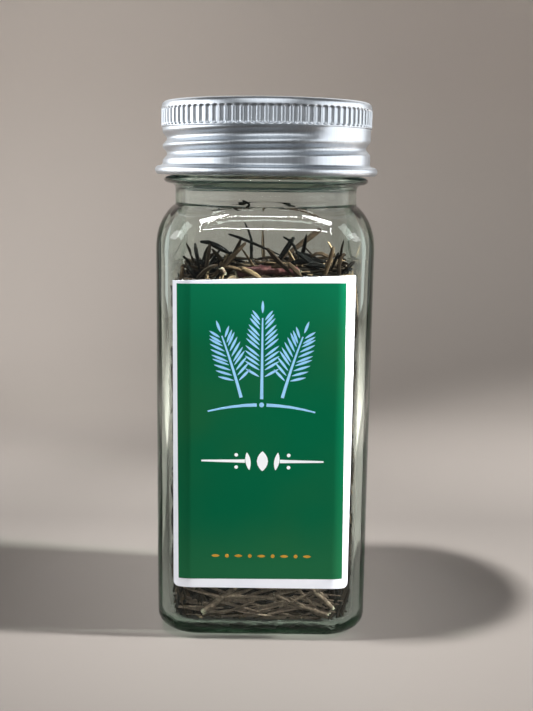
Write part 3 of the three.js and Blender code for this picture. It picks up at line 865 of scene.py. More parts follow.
# %% Liner
def foam_material():
    material, place = new_material("liner_foam")
    cells = place.node("ShaderNodeTexVoronoi", sockets={"Vector": place, "Scale": 3200.0})
    cloud = place.noise(150, 3)
    shade = (0.5 * cells + 0.5 * cloud).ramp((0.2, (226, 225, 218)), (0.8, (243, 242, 237)))
    return surfaced(
        material,
        place,
        Base_Color=shade,
        Roughness=0.72 + 0.15 * cloud,
        Normal=cells.bump(0.4, 0.00006),
    )


def dress_node(name, material):
    """Gives a CAD node that stays a better material."""
    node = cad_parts[name]
    node.data.materials.clear()
    node.data.materials.append(material)
    print("dressed", name)


dress_node("cap_liner", foam_material())

# %% [markdown]
# ## The label
#
# The label is a rectangle of coated paper that is a little wider than the flat of the jar, so its two sides wrap
# on to the round corners. It is drawn flat as one face, its lower corners are rounded by Bevel, and then Bisect
# cuts it into upright strips where it bends. Its points are moved back on to the glass, and Solidify gives it the
# thickness of paper.

# %% Label helpers
FLAT_HALF = BODY_HALF - BODY_CORNER
PAPER_GAP = 0.06
PAPER = 0.15
INK_GAP = 0.012
INK = 0.006
BEND_STRIP = 0.45


def front_depth(x, off):
    """The y of a sheet that lies `off` outside the jar's front, at a place across it."""
    past = max(abs(x) - FLAT_HALF, 0.0)
    radius = BODY_CORNER + off
    return -(FLAT_HALF + math.sqrt(radius * radius - past * past))


def flat_outline(bm, points):
    """One flat face in the front plane from (x, z) points, counterclockwise as seen from the front."""
    return bm.faces.new([bm.verts.new((x, 0, z)) for x, z in points])


def round_corner(bm, x, z, radius):
    """Rounds the outline's corner nearest to a place."""
    corner = min(bm.verts, key=lambda v: (v.co - Vector((x, 0, z))).length)
    bmesh.ops.bevel(
        bm,
        geom=[corner],
        offset=radius * 0.586,
        offset_type="OFFSET",
        affect="VERTICES",
        segments=6,
        profile=0.5,
        material=-1,
    )


def wrap_on_jar(bm, off, thickness):
    """Cuts a flat sheet where it bends, lays it on the glass and gives it thickness outwards."""
    x = FLAT_HALF
    while x < BODY_HALF:
        for side in (-1, 1):
            everything = list(bm.verts) + list(bm.edges) + list(bm.faces)
            bmesh.ops.bisect_plane(bm, geom=everything, plane_co=(side * x, 0, 0), plane_no=(1, 0, 0))
        x += BEND_STRIP
    for vert in bm.verts:
        vert.co.y = front_depth(vert.co.x, off)
    bm.normal_update()
    for face in bm.faces:
        if face.normal.y > 0:
            face.normal_flip()
    bmesh.ops.solidify(bm, geom=list(bm.faces), thickness=thickness)
    bmesh.ops.recalc_face_normals(bm, faces=bm.faces)
    shift = -(min(v.co.y for v in bm.verts) + BODY_HALF + off + thickness)
    bmesh.ops.translate(bm, verts=bm.verts, vec=(0, shift, 0))


print("sheet at the front stands", round(-front_depth(0, PAPER_GAP), 2), "from the axis")

# %% [markdown]
# The sheet of paper was stuck on by hand: its upper edge isn't quite level.

# %% Paper
LABEL = {"left": -18.5, "right": 18.3, "bottom": 11.8, "top_left": 76.6, "top_right": 78.1}
LOWER_CORNER = 1.8
UPPER_CORNER = 0.5

bm = bmesh.new()
flat_outline(
    bm,
    [
        (LABEL["left"], LABEL["bottom"]),
        (LABEL["right"], LABEL["bottom"]),
        (LABEL["right"], LABEL["top_right"]),
        (LABEL["left"], LABEL["top_left"]),
    ],
)
round_corner(bm, LABEL["left"], LABEL["bottom"], LOWER_CORNER)
round_corner(bm, LABEL["right"], LABEL["bottom"], LOWER_CORNER)
round_corner(bm, LABEL["right"], LABEL["top_right"], UPPER_CORNER)
wrap_on_jar(bm, PAPER_GAP, PAPER)


def printed_material(name, low, high, rough, shine=0.5, cloud_scale=60):
    """Coated paper or a layer of ink: two near shades in soft clouds, and the paper's fibres as a faint bump."""
    material, place = new_material(name)
    cloud = place.noise(cloud_scale, 3)
    fibres = place.scaled(1, 1, 0.35).noise(4200, 3, 0.7)
    return surfaced(
        material,
        place,
        Base_Color=(cloud + 0.1 * fibres).between(0.32, 0.78).mix(low, high),
        Roughness=rough + 0.12 * fibres,
        Specular_IOR_Level=shine,
        Normal=fibres.bump(0.25, 0.00002),
    )


paper = finish_piece(bm, "label_paper", printed_material("label_paper", (233, 236, 246), (243, 245, 252), 0.42))
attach(paper, "jar_body")
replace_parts(paper, "label")

# %% [markdown]
# The print is a green field with a plain design of its own: an upright herb sprig in light blue, a white ornament
# under it and an ochre row of dots at the foot. Each ink is its own very thin sheet that stands on the paper, so
# its edges are sharp at any distance. The leaves of the sprig are circles that are pulled to two points.

# %% Green field
FIELD = {"left": -17.65, "right": 16.75, "bottom": 13.85, "top_left": 76.05, "top_right": 76.55}

bm = bmesh.new()
flat_outline(
    bm,
    [
        (FIELD["left"] + 0.25, FIELD["bottom"] - 0.15),
        (FIELD["right"] + 0.35, FIELD["bottom"] + 0.1),
        (FIELD["right"] - 0.35, FIELD["top_right"]),
        (FIELD["left"], FIELD["top_left"]),
    ],
)
wrap_on_jar(bm, PAPER_GAP + PAPER + INK_GAP, INK)


def green_ink_material():
    material, place = new_material("green_ink")
    z = place.parts()[2]
    cloud = place.noise(38, 2)
    fibres = place.noise(4200, 3, 0.7)
    deep = cloud.between(0.35, 0.7).mix((2, 92, 60), (24, 92, 56))
    edge = z.between(0.060, 0.079).mix(deep, (10, 106, 72))
    foot = z.between(0.030, 0.013)
    shade = foot.mix(edge, (30, 98, 62))
    return surfaced(
        material,
        place,
        Base_Color=shade,
        Roughness=0.55 + 0.1 * fibres,
        Specular_IOR_Level=0.12,
        Normal=fibres.bump(0.2, 0.00002),
    )


field = finish_piece(bm, "label_green_field", green_ink_material())
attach(field, "jar_body")

# %% [markdown]
# The design needs three shapes: a leaf with two points, a tapering strip and a dot. Each is drawn flat, and all of
# one ink are laid on the label together.

# %% Ink shapes
def leaf_shape(bm, x, z, angle, length, width):
    """A flat leaf in the front plane: its foot at (x, z), pointing `angle` from upright towards +X."""
    made = bmesh.ops.create_circle(bm, cap_ends=True, segments=16, radius=0.5)["verts"]
    for vert in made:
        along = vert.co.y + 0.5
        pull = math.sin(math.pi * along) ** 0.75 if 0 < along < 1 else 0.0
        vert.co.x = math.copysign(0.5 * pull, vert.co.x) * width
        vert.co.y = along * length
    turn = Matrix.Rotation(math.pi / 2, 4, "X") @ Matrix.Rotation(-angle, 4, "Z")
    bmesh.ops.transform(bm, matrix=Matrix.Translation((x, 0, z)) @ turn, verts=made)


def strip_shape(bm, points, width):
    """A tapering flat strip in the front plane that follows (x, z) points."""
    ups, downs = [], []
    last = len(points) - 1
    for i, (x, z) in enumerate(points):
        before, after = points[max(i - 1, 0)], points[min(i + 1, last)]
        along = Vector((after[0] - before[0], after[1] - before[1])).normalized()
        half = width / 2 * (1 - 0.55 * i / last)
        ups.append((x - along.y * half, z + along.x * half))
        downs.append((x + along.y * half, z - along.x * half))
    flat_outline(bm, ups + downs[::-1])


def dot_shape(bm, x, z, radius, sides=20):
    turn = Matrix.Translation((x, 0, z)) @ Matrix.Rotation(math.pi / 2, 4, "X")
    bmesh.ops.create_circle(bm, cap_ends=True, segments=sides, radius=radius, matrix=turn)


def print_ink(bm, name, material):
    """Lays flat shapes on the green field as a layer of ink."""
    wrap_on_jar(bm, PAPER_GAP + PAPER + 2 * INK_GAP + INK, INK)
    piece = finish_piece(bm, name, material)
    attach(piece, "jar_body")


SPRIG_STEPS = 40
SPRIG_BARE = 0.26
STENCIL_GAP = 0.5


def sprig_shapes(bm, foot, lean, height, bend, pairs):
    """A sprig as a stencil has it: a stem, and pairs of needles that stop just short of it."""
    stem = []
    for i in range(SPRIG_STEPS + 1):
        t = i / SPRIG_STEPS
        x = foot[0] + height * (t * math.sin(lean) + bend * t * t)
        stem.append((x, foot[1] + height * t * math.cos(lean)))
    strip_shape(bm, stem[: -SPRIG_STEPS // 10], 0.66)
    for i in range(pairs):
        share = i / (pairs - 1)
        t = SPRIG_BARE + (0.88 - SPRIG_BARE) * share
        x, z = stem[round(t * SPRIG_STEPS)]
        lean_here = lean + 2 * bend * t
        length = 3.7 * math.sin(math.pi * (0.34 + 0.46 * share)) ** 0.7
        for side in (-1, 1):
            spread = lean_here + side * math.radians(60 - 22 * share)
            leaf_shape(bm, x + side * STENCIL_GAP, z, spread, length, 0.52)
    leaf_shape(bm, stem[-3][0], stem[-3][1], lean + 2 * bend, 2.6, 0.56)


bm = bmesh.new()
sprig_shapes(bm, (-0.3, 52.6), 0.0, 18.6, 0.0, 12)
sprig_shapes(bm, (-4.5, 52.9), math.radians(-15), 14.6, -0.05, 10)
sprig_shapes(bm, (3.9, 52.9), math.radians(15), 14.6, 0.05, 10)
for side in (-1, 1):
    strip_shape(bm, [(-0.3 + side * x, 51.4 - 0.012 * x * x) for x in (1.0, 3.5, 6, 8.5, 11)], 0.7)
dot_shape(bm, -0.3, 51.4, 0.5)
print_ink(bm, "label_blue_sprig", printed_material("light_blue_ink", (138, 190, 232), (152, 202, 240), 0.5, 0.2))

bm = bmesh.new()
ORNAMENT_Z = 39.5
for side in (-1, 1):
    strip_shape(bm, [(side * x, ORNAMENT_Z) for x in (3.6, 5, 7, 9, 11, 12.6)], 0.75)
    leaf_shape(bm, side * 2.7, ORNAMENT_Z - 1.9, side * math.radians(8), 3.8, 1.1)
    dot_shape(bm, side * 5.4, ORNAMENT_Z + 1.3, 0.38)
    dot_shape(bm, side * 5.4, ORNAMENT_Z - 1.3, 0.38)
leaf_shape(bm, 0, ORNAMENT_Z - 2.1, 0, 4.2, 2.3)
print_ink(bm, "label_white_ornament", printed_material("white_ink", (236, 240, 243), (246, 248, 250), 0.5, 0.3))

bm = bmesh.new()
FOOT_ROW_Z = 18.9
for i in range(9):
    x = -9.6 + 2.4 * i
    if i % 2:
        dot_shape(bm, x, FOOT_ROW_Z, 0.4)
    else:
        leaf_shape(bm, x - 0.85, FOOT_ROW_Z, math.pi / 2, 1.7, 0.62)
print_ink(bm, "label_ochre_row", printed_material("ochre_ink", (178, 132, 44), (194, 146, 58), 0.5, 0.2))

# %% [markdown]
# ## One dried leaf
#
# A rosemary leaf is a narrow needle whose edges roll under as it dries. Across, it is a flat arch with a groove
# below, where the leaf is paler and felted. One needle is made from a circle of eight points, pressed to that
# section and extruded ring by ring to a point at both ends. It has about fifty faces and no more, because thousands
# of copies of it are laid in the jar, each with its own bend, twist, width and shade.

# %% Needle template
NEEDLE_RINGS = ((0.05, 0.62), (0.28, 0.96), (0.55, 1.0), (0.8, 0.84), (0.95, 0.46))
NEEDLE_THICKNESS = 0.62
NEEDLE_GROOVE = 0.3


def grow_ring(bm, edges, from_ring, to_ring):
    """Extrudes a ring of edges from one (z, width) to the next."""
    grown = bmesh.ops.extrude_edge_only(bm, edges=edges)["geom"]
    verts = only(bmesh.types.BMVert, grown)
    size = to_ring[1] / from_ring[1]
    bmesh.ops.scale(bm, vec=(size, size, 1), verts=verts)
    bmesh.ops.translate(bm, vec=(0, 0, to_ring[0] - from_ring[0]), verts=verts)
    return verts, only(bmesh.types.BMEdge, grown)


def make_needle():
    """A straight needle, 1 wide, from z = 0 to z = 1, with its groove towards -Y."""
    bm = bmesh.new()
    bm.verts.layers.float.new("tone")
    under_of = bm.verts.layers.float.new("under")
    ring = bmesh.ops.create_circle(bm, cap_ends=False, segments=8, radius=0.5)["verts"]
    for vert in ring:
        low = -vert.co.y / 0.5
        vert[under_of] = smooth_step(low, 0.3, 1.0)
        vert.co.y *= NEEDLE_THICKNESS
        if low > 0.99:
            vert.co.y += NEEDLE_GROOVE
    width = NEEDLE_RINGS[0][1]
    bmesh.ops.scale(bm, vec=(width, width, 1), verts=ring)
    bmesh.ops.translate(bm, vec=(0, 0, NEEDLE_RINGS[0][0]), verts=ring)
    first_edges = list(bm.edges)
    edges = first_edges
    for before, after in zip(NEEDLE_RINGS, NEEDLE_RINGS[1:]):
        ring, edges = grow_ring(bm, edges, before, after)
    for last_edges, last_ring, tip_z in ((edges, NEEDLE_RINGS[-1], 1.0), (first_edges, NEEDLE_RINGS[0], 0.0)):
        ring, _ = grow_ring(bm, last_edges, last_ring, (tip_z, last_ring[1]))
        bmesh.ops.pointmerge(bm, verts=ring, merge_co=(0, 0, tip_z))
    bmesh.ops.recalc_face_normals(bm, faces=bm.faces)
    mesh = bpy.data.meshes.new("needle")
    bm.to_mesh(mesh)
    print("needle:", len(bm.verts), "vertices,", len(bm.faces), "faces")
    bm.free()
    return mesh


needle = make_needle()

# %% [markdown]
# A needle is laid along a curve of three points, as a strip of wood is bent over two pegs and a knuckle. At each of
# its rings the curve gives a place and a direction, and the needle's flat back is kept towards one side, with a
# little twist on the way. The same helper later bends the bits of woody stem.

# %% Laying
def along_curve(path, t):
    """The place and direction at t on the curve of three points."""
    a, b, c = path
    place = a * (1 - t) ** 2 + b * (2 * t * (1 - t)) + c * t * t
    return place, ((b - a) * (1 - t) + (c - b) * t).normalized()


def lay(bm, template, path, width, back, tone=None, twist=0.0, scale_z=1.0):
    """Adds a copy of a template to bm, laid along a path with its back towards a direction."""
    start = len(bm.verts)
    bm.from_mesh(template)
    bm.verts.ensure_lookup_table()
    tone_of = bm.verts.layers.float.get("tone")
    frames = {}
    for vert in bm.verts[start:]:
        t = round(vert.co.z * scale_z, 4)
        if t not in frames:
            place, along = along_curve(path, t)
            across = along.cross(back).normalized()
            up = across.cross(along)
            c, s = math.cos(twist * t), math.sin(twist * t)
            frames[t] = (place, (across * c + up * s) * width, (up * c - across * s) * width)
        place, across, up = frames[t]
        vert.co = place + across * vert.co.x + up * vert.co.y
        if tone is not None:
            vert[tone_of] = tone


def herb_bmesh():
    """An empty bmesh that keeps each leaf's shade."""
    bm = bmesh.new()
    bm.verts.layers.float.new("tone")
    bm.verts.layers.float.new("under")
    return bm


# %% [markdown]
# ## Where a leaf may lie
#
# The leaves may not stick into the glass. The cavity is a square with round corners all the way up, with a round
# heel at the floor and the shoulder at the top, so two short functions are enough: one gives its half width at a
# height, and one moves a point in until it is clear of the wall.

# %% Cavity
def cavity_half(z):
    if z < FLOOR_Z + INNER_HEEL_R:
        rise = max(z - FLOOR_Z, 0.05)
        return INNER_HALF - INNER_HEEL_R + math.sqrt(INNER_HEEL_R**2 - (INNER_HEEL_R - rise) ** 2)
    if z > INNER_SHOULDER_Z:
        t = min((z - INNER_SHOULDER_Z) / (INNER_SHOULDER_TOP_Z - INNER_SHOULDER_Z), 1.0)
        return BORE_R + (INNER_HALF - BORE_R) * (1 - t**2.8) ** 0.85
    return INNER_HALF


def keep_inside(point, inset):
    """The nearest point that stands `inset` clear of the four walls and the round corners."""
    half = cavity_half(point.z) - inset
    corner = max(INNER_CORNER - inset, 0.5)
    if point.z > INNER_SHOULDER_Z:
        corner += (point.z - INNER_SHOULDER_Z) * 1.1
    straight = half - corner
    x = min(max(point.x, -half), half)
    y = min(max(point.y, -half), half)
    over = Vector((abs(x) - straight, abs(y) - straight))
    if over.x > 0 and over.y > 0 and over.length > corner:
        over *= corner / over.length
        x = math.copysign(straight + over.x, x)
        y = math.copysign(straight + over.y, y)
    return Vector((x, y, point.z))


def wall_point(side, along, z, inset):
    """A point near a wall: side 0 is the front, 1 the right, 2 the back and 3 the left, `along` in millimetres."""
    straight = INNER_HALF - INNER_CORNER
    corner = INNER_CORNER - inset
    half = cavity_half(z) - inset
    if abs(along) <= straight:
        point = Vector((along, -half, z))
    else:
        angle = min((abs(along) - straight) / corner, math.pi / 2)
        x = (half - corner) + corner * math.sin(angle)
        point = Vector((math.copysign(x, along), -(half - corner) - corner * math.cos(angle), z))
    return Matrix.Rotation(side * math.pi / 2, 3, "Z") @ point


def mound(x, y):
    """The height of the heap's top, which rises towards the back and is uneven."""
    rise = 2.3 * smooth_step(y, -20, 4) + 0.5 * smooth_step(x, -4, 12)
    return 74.3 + rise + 1.3 * noise.noise(Vector((x / 9, y / 9, 3.7)))


print("heap height at the front, middle and back:", [round(mound(0, y), 1) for y in (-19, 0, 19)])

# %% [markdown]
# ## The heap
#
# The jar holds some thousands of leaves. Only those near the glass and on top are ever seen, so a dark, lumpy core
# fills the middle, and real needles lie over it on all six sides. The core's near black is the dark colour of the
# leaves, darkened further as painted shade for the depths of the heap. Most of the needles lie nearly level, as they
# settled when the jar was shaken, and those in the corners stand more upright, because a straight needle can't lie
# round a corner. All random numbers come from one seeded generator, so that the heap is the same each time.

# %% Heap core
LOWEST_Z = FLOOR_Z + 0.9
CORE_INSET = 2.6
CORE_COLUMNS = 96
CORE_LUMP = 0.5


def core_rows():
    half = INNER_HALF - CORE_INSET
    foot = LOWEST_Z + 0.8
    rows = [(h, h * (1 - 0.75 * h / half), foot) for h in (0, 4, 8, 12, half - 2.6)]
    rows += [(half - 1, 4.2, foot + 0.5), (half - 0.3, 4.0, foot + 1.4)]
    rows += even_rows(half, 3.8, foot + 2.4, 71, 3)
    rows += [(half, 3.8, 71), (half - 0.4, 3.8, 72.2), (half - 1.6, 3.9, 73)]
    return rows + [(h, h * (1 - 0.75 * h / half), 73.4) for h in (13, 10, 7, 4, 0)]


bm = square_lathe((core_rows(),), CORE_COLUMNS)
moves = [(v, v.normal * CORE_LUMP * noise.noise(v.co / 1.7)) for v in bm.verts]
for vert, move in moves:
    vert.co += move
    if vert.co.z > 72:
        vert.co.z += mound(vert.co.x, vert.co.y) - 75.2


def core_material():
    material, place = new_material("heap_core")
    cloud = place.noise(900, 4, 0.65)
    # Painted shade: the core is near black, a dark leaf colour darkened further for the shade deep in the heap.
    shade = cloud.ramp((0.3, (7, 6, 5)), (0.55, (20, 17, 13)), (0.75, (38, 32, 24)))
    rough = 0.8 + 0.15 * cloud
    return surfaced(material, place, Base_Color=shade, Roughness=rough, Normal=cloud.bump(0.8, 0.0004))


def add_to_heap(bm, name, material, smooth_below=SMOOTH_BELOW):
    """A piece of the heap, which stands in for the CAD leaves and rides on the jar."""
    piece = finish_piece(bm, name, material, smooth_below)
    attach(piece, "jar_body")
    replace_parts(piece, "rosemary_leaves")
    return piece


add_to_heap(bm, "heap_core", core_material())

# %% [markdown]
# Dried leaves are dark green to nearly black above and grey-brown below, with tan ones among them. Each needle
# carries a number, its tone, and a ramp turns the tone into a colour. Fine noise wrinkles the back, and the groove
# side, which is marked in the mesh, is paler and duller.

# %% Leaf material
def leaf_material():
    material, place = new_material("dried_leaf")
    tone = place.attribute("tone")
    under = place.attribute("under")
    cloud = place.noise(700, 3, 0.6)
    wrinkle = place.noise(3600, 3, 0.65)
    level = tone + 0.28 * (cloud - 0.5) + 0.12 * (wrinkle - 0.5)
    back = level.ramp(
        (0.0, (8, 8, 8)),
        (0.25, (17, 14, 12)),
        (0.5, (42, 33, 27)),
        (0.72, (82, 65, 51)),
        (0.88, (130, 107, 84)),
        (1.0, (176, 150, 120)),
    )
    groove = level.ramp((0.0, (24, 21, 19)), (0.5, (78, 65, 53)), (1.0, (164, 141, 114)))
    return surfaced(
        material,
        place,
        Base_Color=(under * 0.85).mix(back, groove),
        Roughness=0.62 + 0.2 * under + 0.12 * wrinkle,
        Specular_IOR_Level=0.22,
        Normal=(wrinkle + 0.5 * cloud).bump(0.55, 0.00012),
    )


dried_leaf = leaf_material()

# %% [markdown]
# A side needle starts as a height and a place along one wall. Its two ends are moved clear of the glass, and a bend,
# a twist, a width and a tone are drawn for it. Low in the jar the tone is darker, as painted shade in the gaps at the
# foot.

# %% Needles round the sides
SIDE_NEEDLES = 560
NEEDLE_LENGTH = (8.5, 17.0)
NEEDLE_WIDTH = (0.75, 1.4)
chance = random.Random(22)


def between(low, high):
    return low + (high - low) * chance.random()


def leaf_tone(light=0.0):
    """Mostly dark leaves, some brown and a few tan."""
    return min(max(chance.betavariate(1.7, 2.6) + light, 0.0), 1.0)


def bend_between(start, end, inward, sag):
    """A curve from start to end that bulges to the inside and up or down."""
    middle = (start + end) / 2
    to_axis = Vector((-middle.x, -middle.y, 0)).normalized()
    return start, middle + to_axis * inward + Vector((0, 0, sag)), end


def side_needle(bm, side):
    z = between(LOWEST_Z, 75.5)
    length = between(*NEEDLE_LENGTH)
    along = between(-19.5, 19.5)
    in_corner = abs(along) > INNER_HALF - INNER_CORNER - 2.5
    slope = chance.gauss(0, 0.42)
    if chance.random() < 0.16:
        slope = between(-1.3, 1.3)
    if in_corner:
        slope = math.copysign(between(0.95, 1.5), slope)
        length = between(6.5, 13)
    half_run = length / 2 * math.cos(slope)
    half_rise = length / 2 * math.sin(slope)
    ends = []
    for end in (-1, 1):
        run, rise = along + end * half_run, z + end * half_rise
        inset = between(0.5, 1.1) if chance.random() < 0.6 else between(0.9, 2.6)
        inset += 0.9 if side == 0 and z < 18 else 0
        probe = wall_point(side, run, rise, inset)
        rise = min(max(rise, LOWEST_Z + 0.2), mound(probe.x, probe.y) + 1.2)
        ends.append(keep_inside(wall_point(side, run, rise, inset), 0.45))
    path = bend_between(*ends, between(-0.1, 1.0), between(-0.9, 0.9))
    outward = Matrix.Rotation(side * math.pi / 2, 3, "Z") @ Vector((0, -1, 0))
    back = (outward * chance.choice((1, 1, -1)) + Vector((0, 0, between(-1.4, 1.4)))).normalized()
    # Painted shade: needles below 20 mm are darker, for the shade in the gaps at the foot.
    tone = leaf_tone(-0.16 if z < 20 else 0.0)
    lay(bm, needle, path, between(*NEEDLE_WIDTH), back, tone, between(-1.1, 1.1))


for side, side_name in enumerate(("front", "right", "back", "left")):
    bm = herb_bmesh()
    for _ in range(SIDE_NEEDLES):
        side_needle(bm, side)
    add_to_heap(bm, f"needles_{side_name}", dried_leaf)

# %% [markdown]
# The floor is seen through the foot of the jar, so it has flat needles of its own. On top, most needles lie on the
# mound and a few stand up.

# %% Needles on the floor and on top
FLOOR_NEEDLES = 260
TOP_NEEDLES = 430
STANDING_NEEDLES = 26
HIGHEST_TIP_Z = 84.5

bm = herb_bmesh()
for _ in range(FLOOR_NEEDLES):
    middle = keep_inside(Vector((between(-18, 18), between(-18, 18), LOWEST_Z + 1)), 1.5)
    heading = between(0, math.pi)
    reach = Vector((math.cos(heading), math.sin(heading), 0)) * between(4, 8)
    ends = []
    for end in (-1, 1):
        point = middle + end * reach
        point.z = LOWEST_Z + between(0.2, 1.3)
        ends.append(keep_inside(point, 0.5))
    path = bend_between(*ends, 0, between(0, 1.0))
    back = Vector((between(-0.7, 0.7), between(-0.7, 0.7), chance.choice((-1, 1)))).normalized()
    lay(bm, needle, path, between(*NEEDLE_WIDTH), back, leaf_tone(0.05), between(-0.8, 0.8))
add_to_heap(bm, "needles_floor", dried_leaf)


def top_needle(bm, lift, rise, length):
    x, y = between(-18, 18), between(-18, 18)
    heading = between(0, TAU)
    reach = Vector((math.cos(heading), math.sin(heading), 0)) * length * math.cos(rise)
    root = keep_inside(Vector((x, y, 74)), 1.0)
    root.z = mound(root.x, root.y) + lift
    tip = root + reach
    tip.z = root.z + length * math.sin(rise)
    tip = keep_inside(tip, 0.6)
    if rise < 0.4:
        tip.z = max(min(tip.z, mound(tip.x, tip.y) + 1.6), mound(tip.x, tip.y) - 1.5)
    tip.z = min(tip.z, HIGHEST_TIP_Z)
    path = bend_between(root, keep_inside(tip, 0.6), 0, between(-0.6, 1.6))
    back = Vector((between(-0.8, 0.8), between(-0.8, 0.8), chance.choice((-1, 1, 1)))).normalized()
    lay(bm, needle, path, between(*NEEDLE_WIDTH), back, leaf_tone(), between(-1.2, 1.2))


bm = herb_bmesh()
for _ in range(TOP_NEEDLES):
    top_needle(bm, between(-2.2, 0.7), chance.gauss(0.05, 0.16), between(8, 16))
for _ in range(STANDING_NEEDLES):
    top_needle(bm, between(-1.5, 0.2), between(0.35, 1.0), between(7, 12))
add_to_heap(bm, "needles_top", dried_leaf)

# %% [markdown]
# Some needles at the front of the heap catch the eye: they stand up behind the shoulder, cross each other and lean
# on the glass. They are placed one by one. Each is given by its two ends and a point that it bends towards, and a
# width and a tone. Two thin bits cling to the neck.

# %% Leading needles
LEADING_NEEDLES = (
    # start, bend, end, width, tone
    ((-3.2, -17.6, 80.4), (-1.6, -17.8, 84.2), (-4.4, -17.4, 88.0), 0.55, 0.0),
    ((-7.6, -17.9, 85.7), (-4.0, -18.2, 84.9), (3.6, -17.4, 81.4), 0.62, 0.02),
    ((-13.3, -17.6, 84.1), (-10.2, -18.0, 84.5), (-6.6, -17.4, 81.4), 0.95, 0.03),
    ((-14.3, -17.4, 84.0), (-13.9, -17.8, 82.0), (-13.3, -17.0, 78.0), 0.8, 0.22),
    ((-11.1, -18.0, 84.0), (-11.5, -18.2, 81.5), (-12.3, -17.0, 77.0), 1.0, 0.45),
    ((-3.8, -18.3, 84.2), (-6.6, -18.4, 81.6), (-11.3, -18.2, 76.2), 1.0, 0.56),
    ((-6.8, -17.0, 82.4), (-7.2, -17.2, 80.0), (-10.0, -15.0, 76.4), 0.9, 0.15),
    ((5.9, -17.8, 85.3), (4.5, -17.9, 83.2), (2.4, -16.8, 80.0), 1.15, 0.1),
    ((3.5, -18.1, 85.3), (6.2, -18.1, 84.6), (7.0, -17.6, 80.6), 0.6, 0.03),
    ((0.3, -18.6, 83.2), (2.0, -18.6, 81.0), (5.6, -18.5, 77.8), 1.0, 0.5),
    ((4.6, -18.7, 80.4), (5.6, -18.7, 79.2), (7.6, -18.6, 77.4), 1.0, 0.56),
    ((13.9, -17.9, 83.6), (13.2, -18.2, 81.0), (11.9, -18.0, 76.6), 0.95, 0.7),
    ((9.4, -14.0, 81.0), (11.4, -14.0, 83.0), (13.9, -14.0, 80.4), 0.95, 0.58),
    ((16.3, -17.0, 82.3), (14.4, -17.5, 80.6), (15.4, -17.2, 76.4), 0.9, 0.5),
    ((15.2, -16.0, 82.3), (14.7, -16.0, 81.6), (13.6, -15.0, 78.2), 0.7, 0.2),
    ((-15.8, -17.4, 79.4), (-15.0, -17.6, 78.2), (-13.9, -17.2, 76.4), 0.9, 0.1),
    ((-16.7, -17.2, 79.0), (-16.9, -17.2, 78.0), (-17.1, -17.0, 75.4), 0.9, 0.6),
    ((-9.5, -18.4, 79.5), (-11.9, -18.4, 79.2), (-14.0, -18.2, 76.3), 0.95, 0.5),
    ((-5.0, -18.9, 79.1), (-2.8, -18.9, 78.4), (-0.6, -18.8, 76.9), 1.05, 0.78),
    ((-8.4, -18.0, 79.0), (-6.2, -18.4, 79.6), (-3.0, -18.4, 77.6), 0.9, 0.66),
    ((1.2, -18.3, 79.2), (3.0, -18.4, 79.9), (6.0, -18.4, 78.9), 0.95, 0.62),
    ((6.2, -15.0, 82.2), (8.2, -15.0, 81.4), (11.4, -15.0, 78.4), 1.3, 0.0),
    ((7.0, -12.0, 81.0), (9.0, -12.0, 82.0), (12.4, -12.0, 79.0), 1.3, 0.02),
    ((5.0, -13.0, 79.4), (8.0, -13.0, 80.6), (13.0, -13.0, 80.0), 1.3, 0.05),
    ((8.6, -17.0, 79.6), (10.0, -17.0, 80.3), (13.2, -17.0, 79.0), 1.1, 0.1),
    ((-14.6, -15.0, 80.2), (-12.0, -15.0, 79.6), (-8.0, -15.0, 77.6), 1.1, 0.06),
)

bm = herb_bmesh()
for start, bend, end, width, tone in LEADING_NEEDLES:
    path = tuple(keep_inside(Vector(point), 0.45) for point in (start, bend, end))
    back = Vector((between(-0.5, 0.5), -1, between(-0.5, 0.8))).normalized()
    lay(bm, needle, path, width, back, tone, between(-0.6, 0.6))
NECK_BITS = (
    # start, bend, end
    ((-4.6, -17.1, 92.5), (-3.7, -17.3, 92.2), (-3.0, -17.4, 91.6)),
    ((-3.1, -17.4, 91.7), (-3.4, -17.5, 91.3), (-4.3, -17.5, 90.4)),
)
for points in NECK_BITS:
    lay(bm, needle, tuple(Vector(point) for point in points), 0.5, Vector((0, -1, 0)), 0.0)
add_to_heap(bm, "needles_leading", dried_leaf)

# %% [markdown]
# ## Bits of stem
#
# Three bits of woody stem lie against the glass at the foot, and a red stem and a pale chip lie on top. A dry stem
# is nearly round, ridged along its length, and has a pair of scars where each pair of leaves sat, each pair turned a
# quarter from the last. Its broken ends show paler wood. Each is a chain of rings spun round an axis, roughened, and
# bent along its path with the same helper as the needles.

# %% Stem shape
STEM_COLUMNS = 16
SCAR_SPACING = 3.1


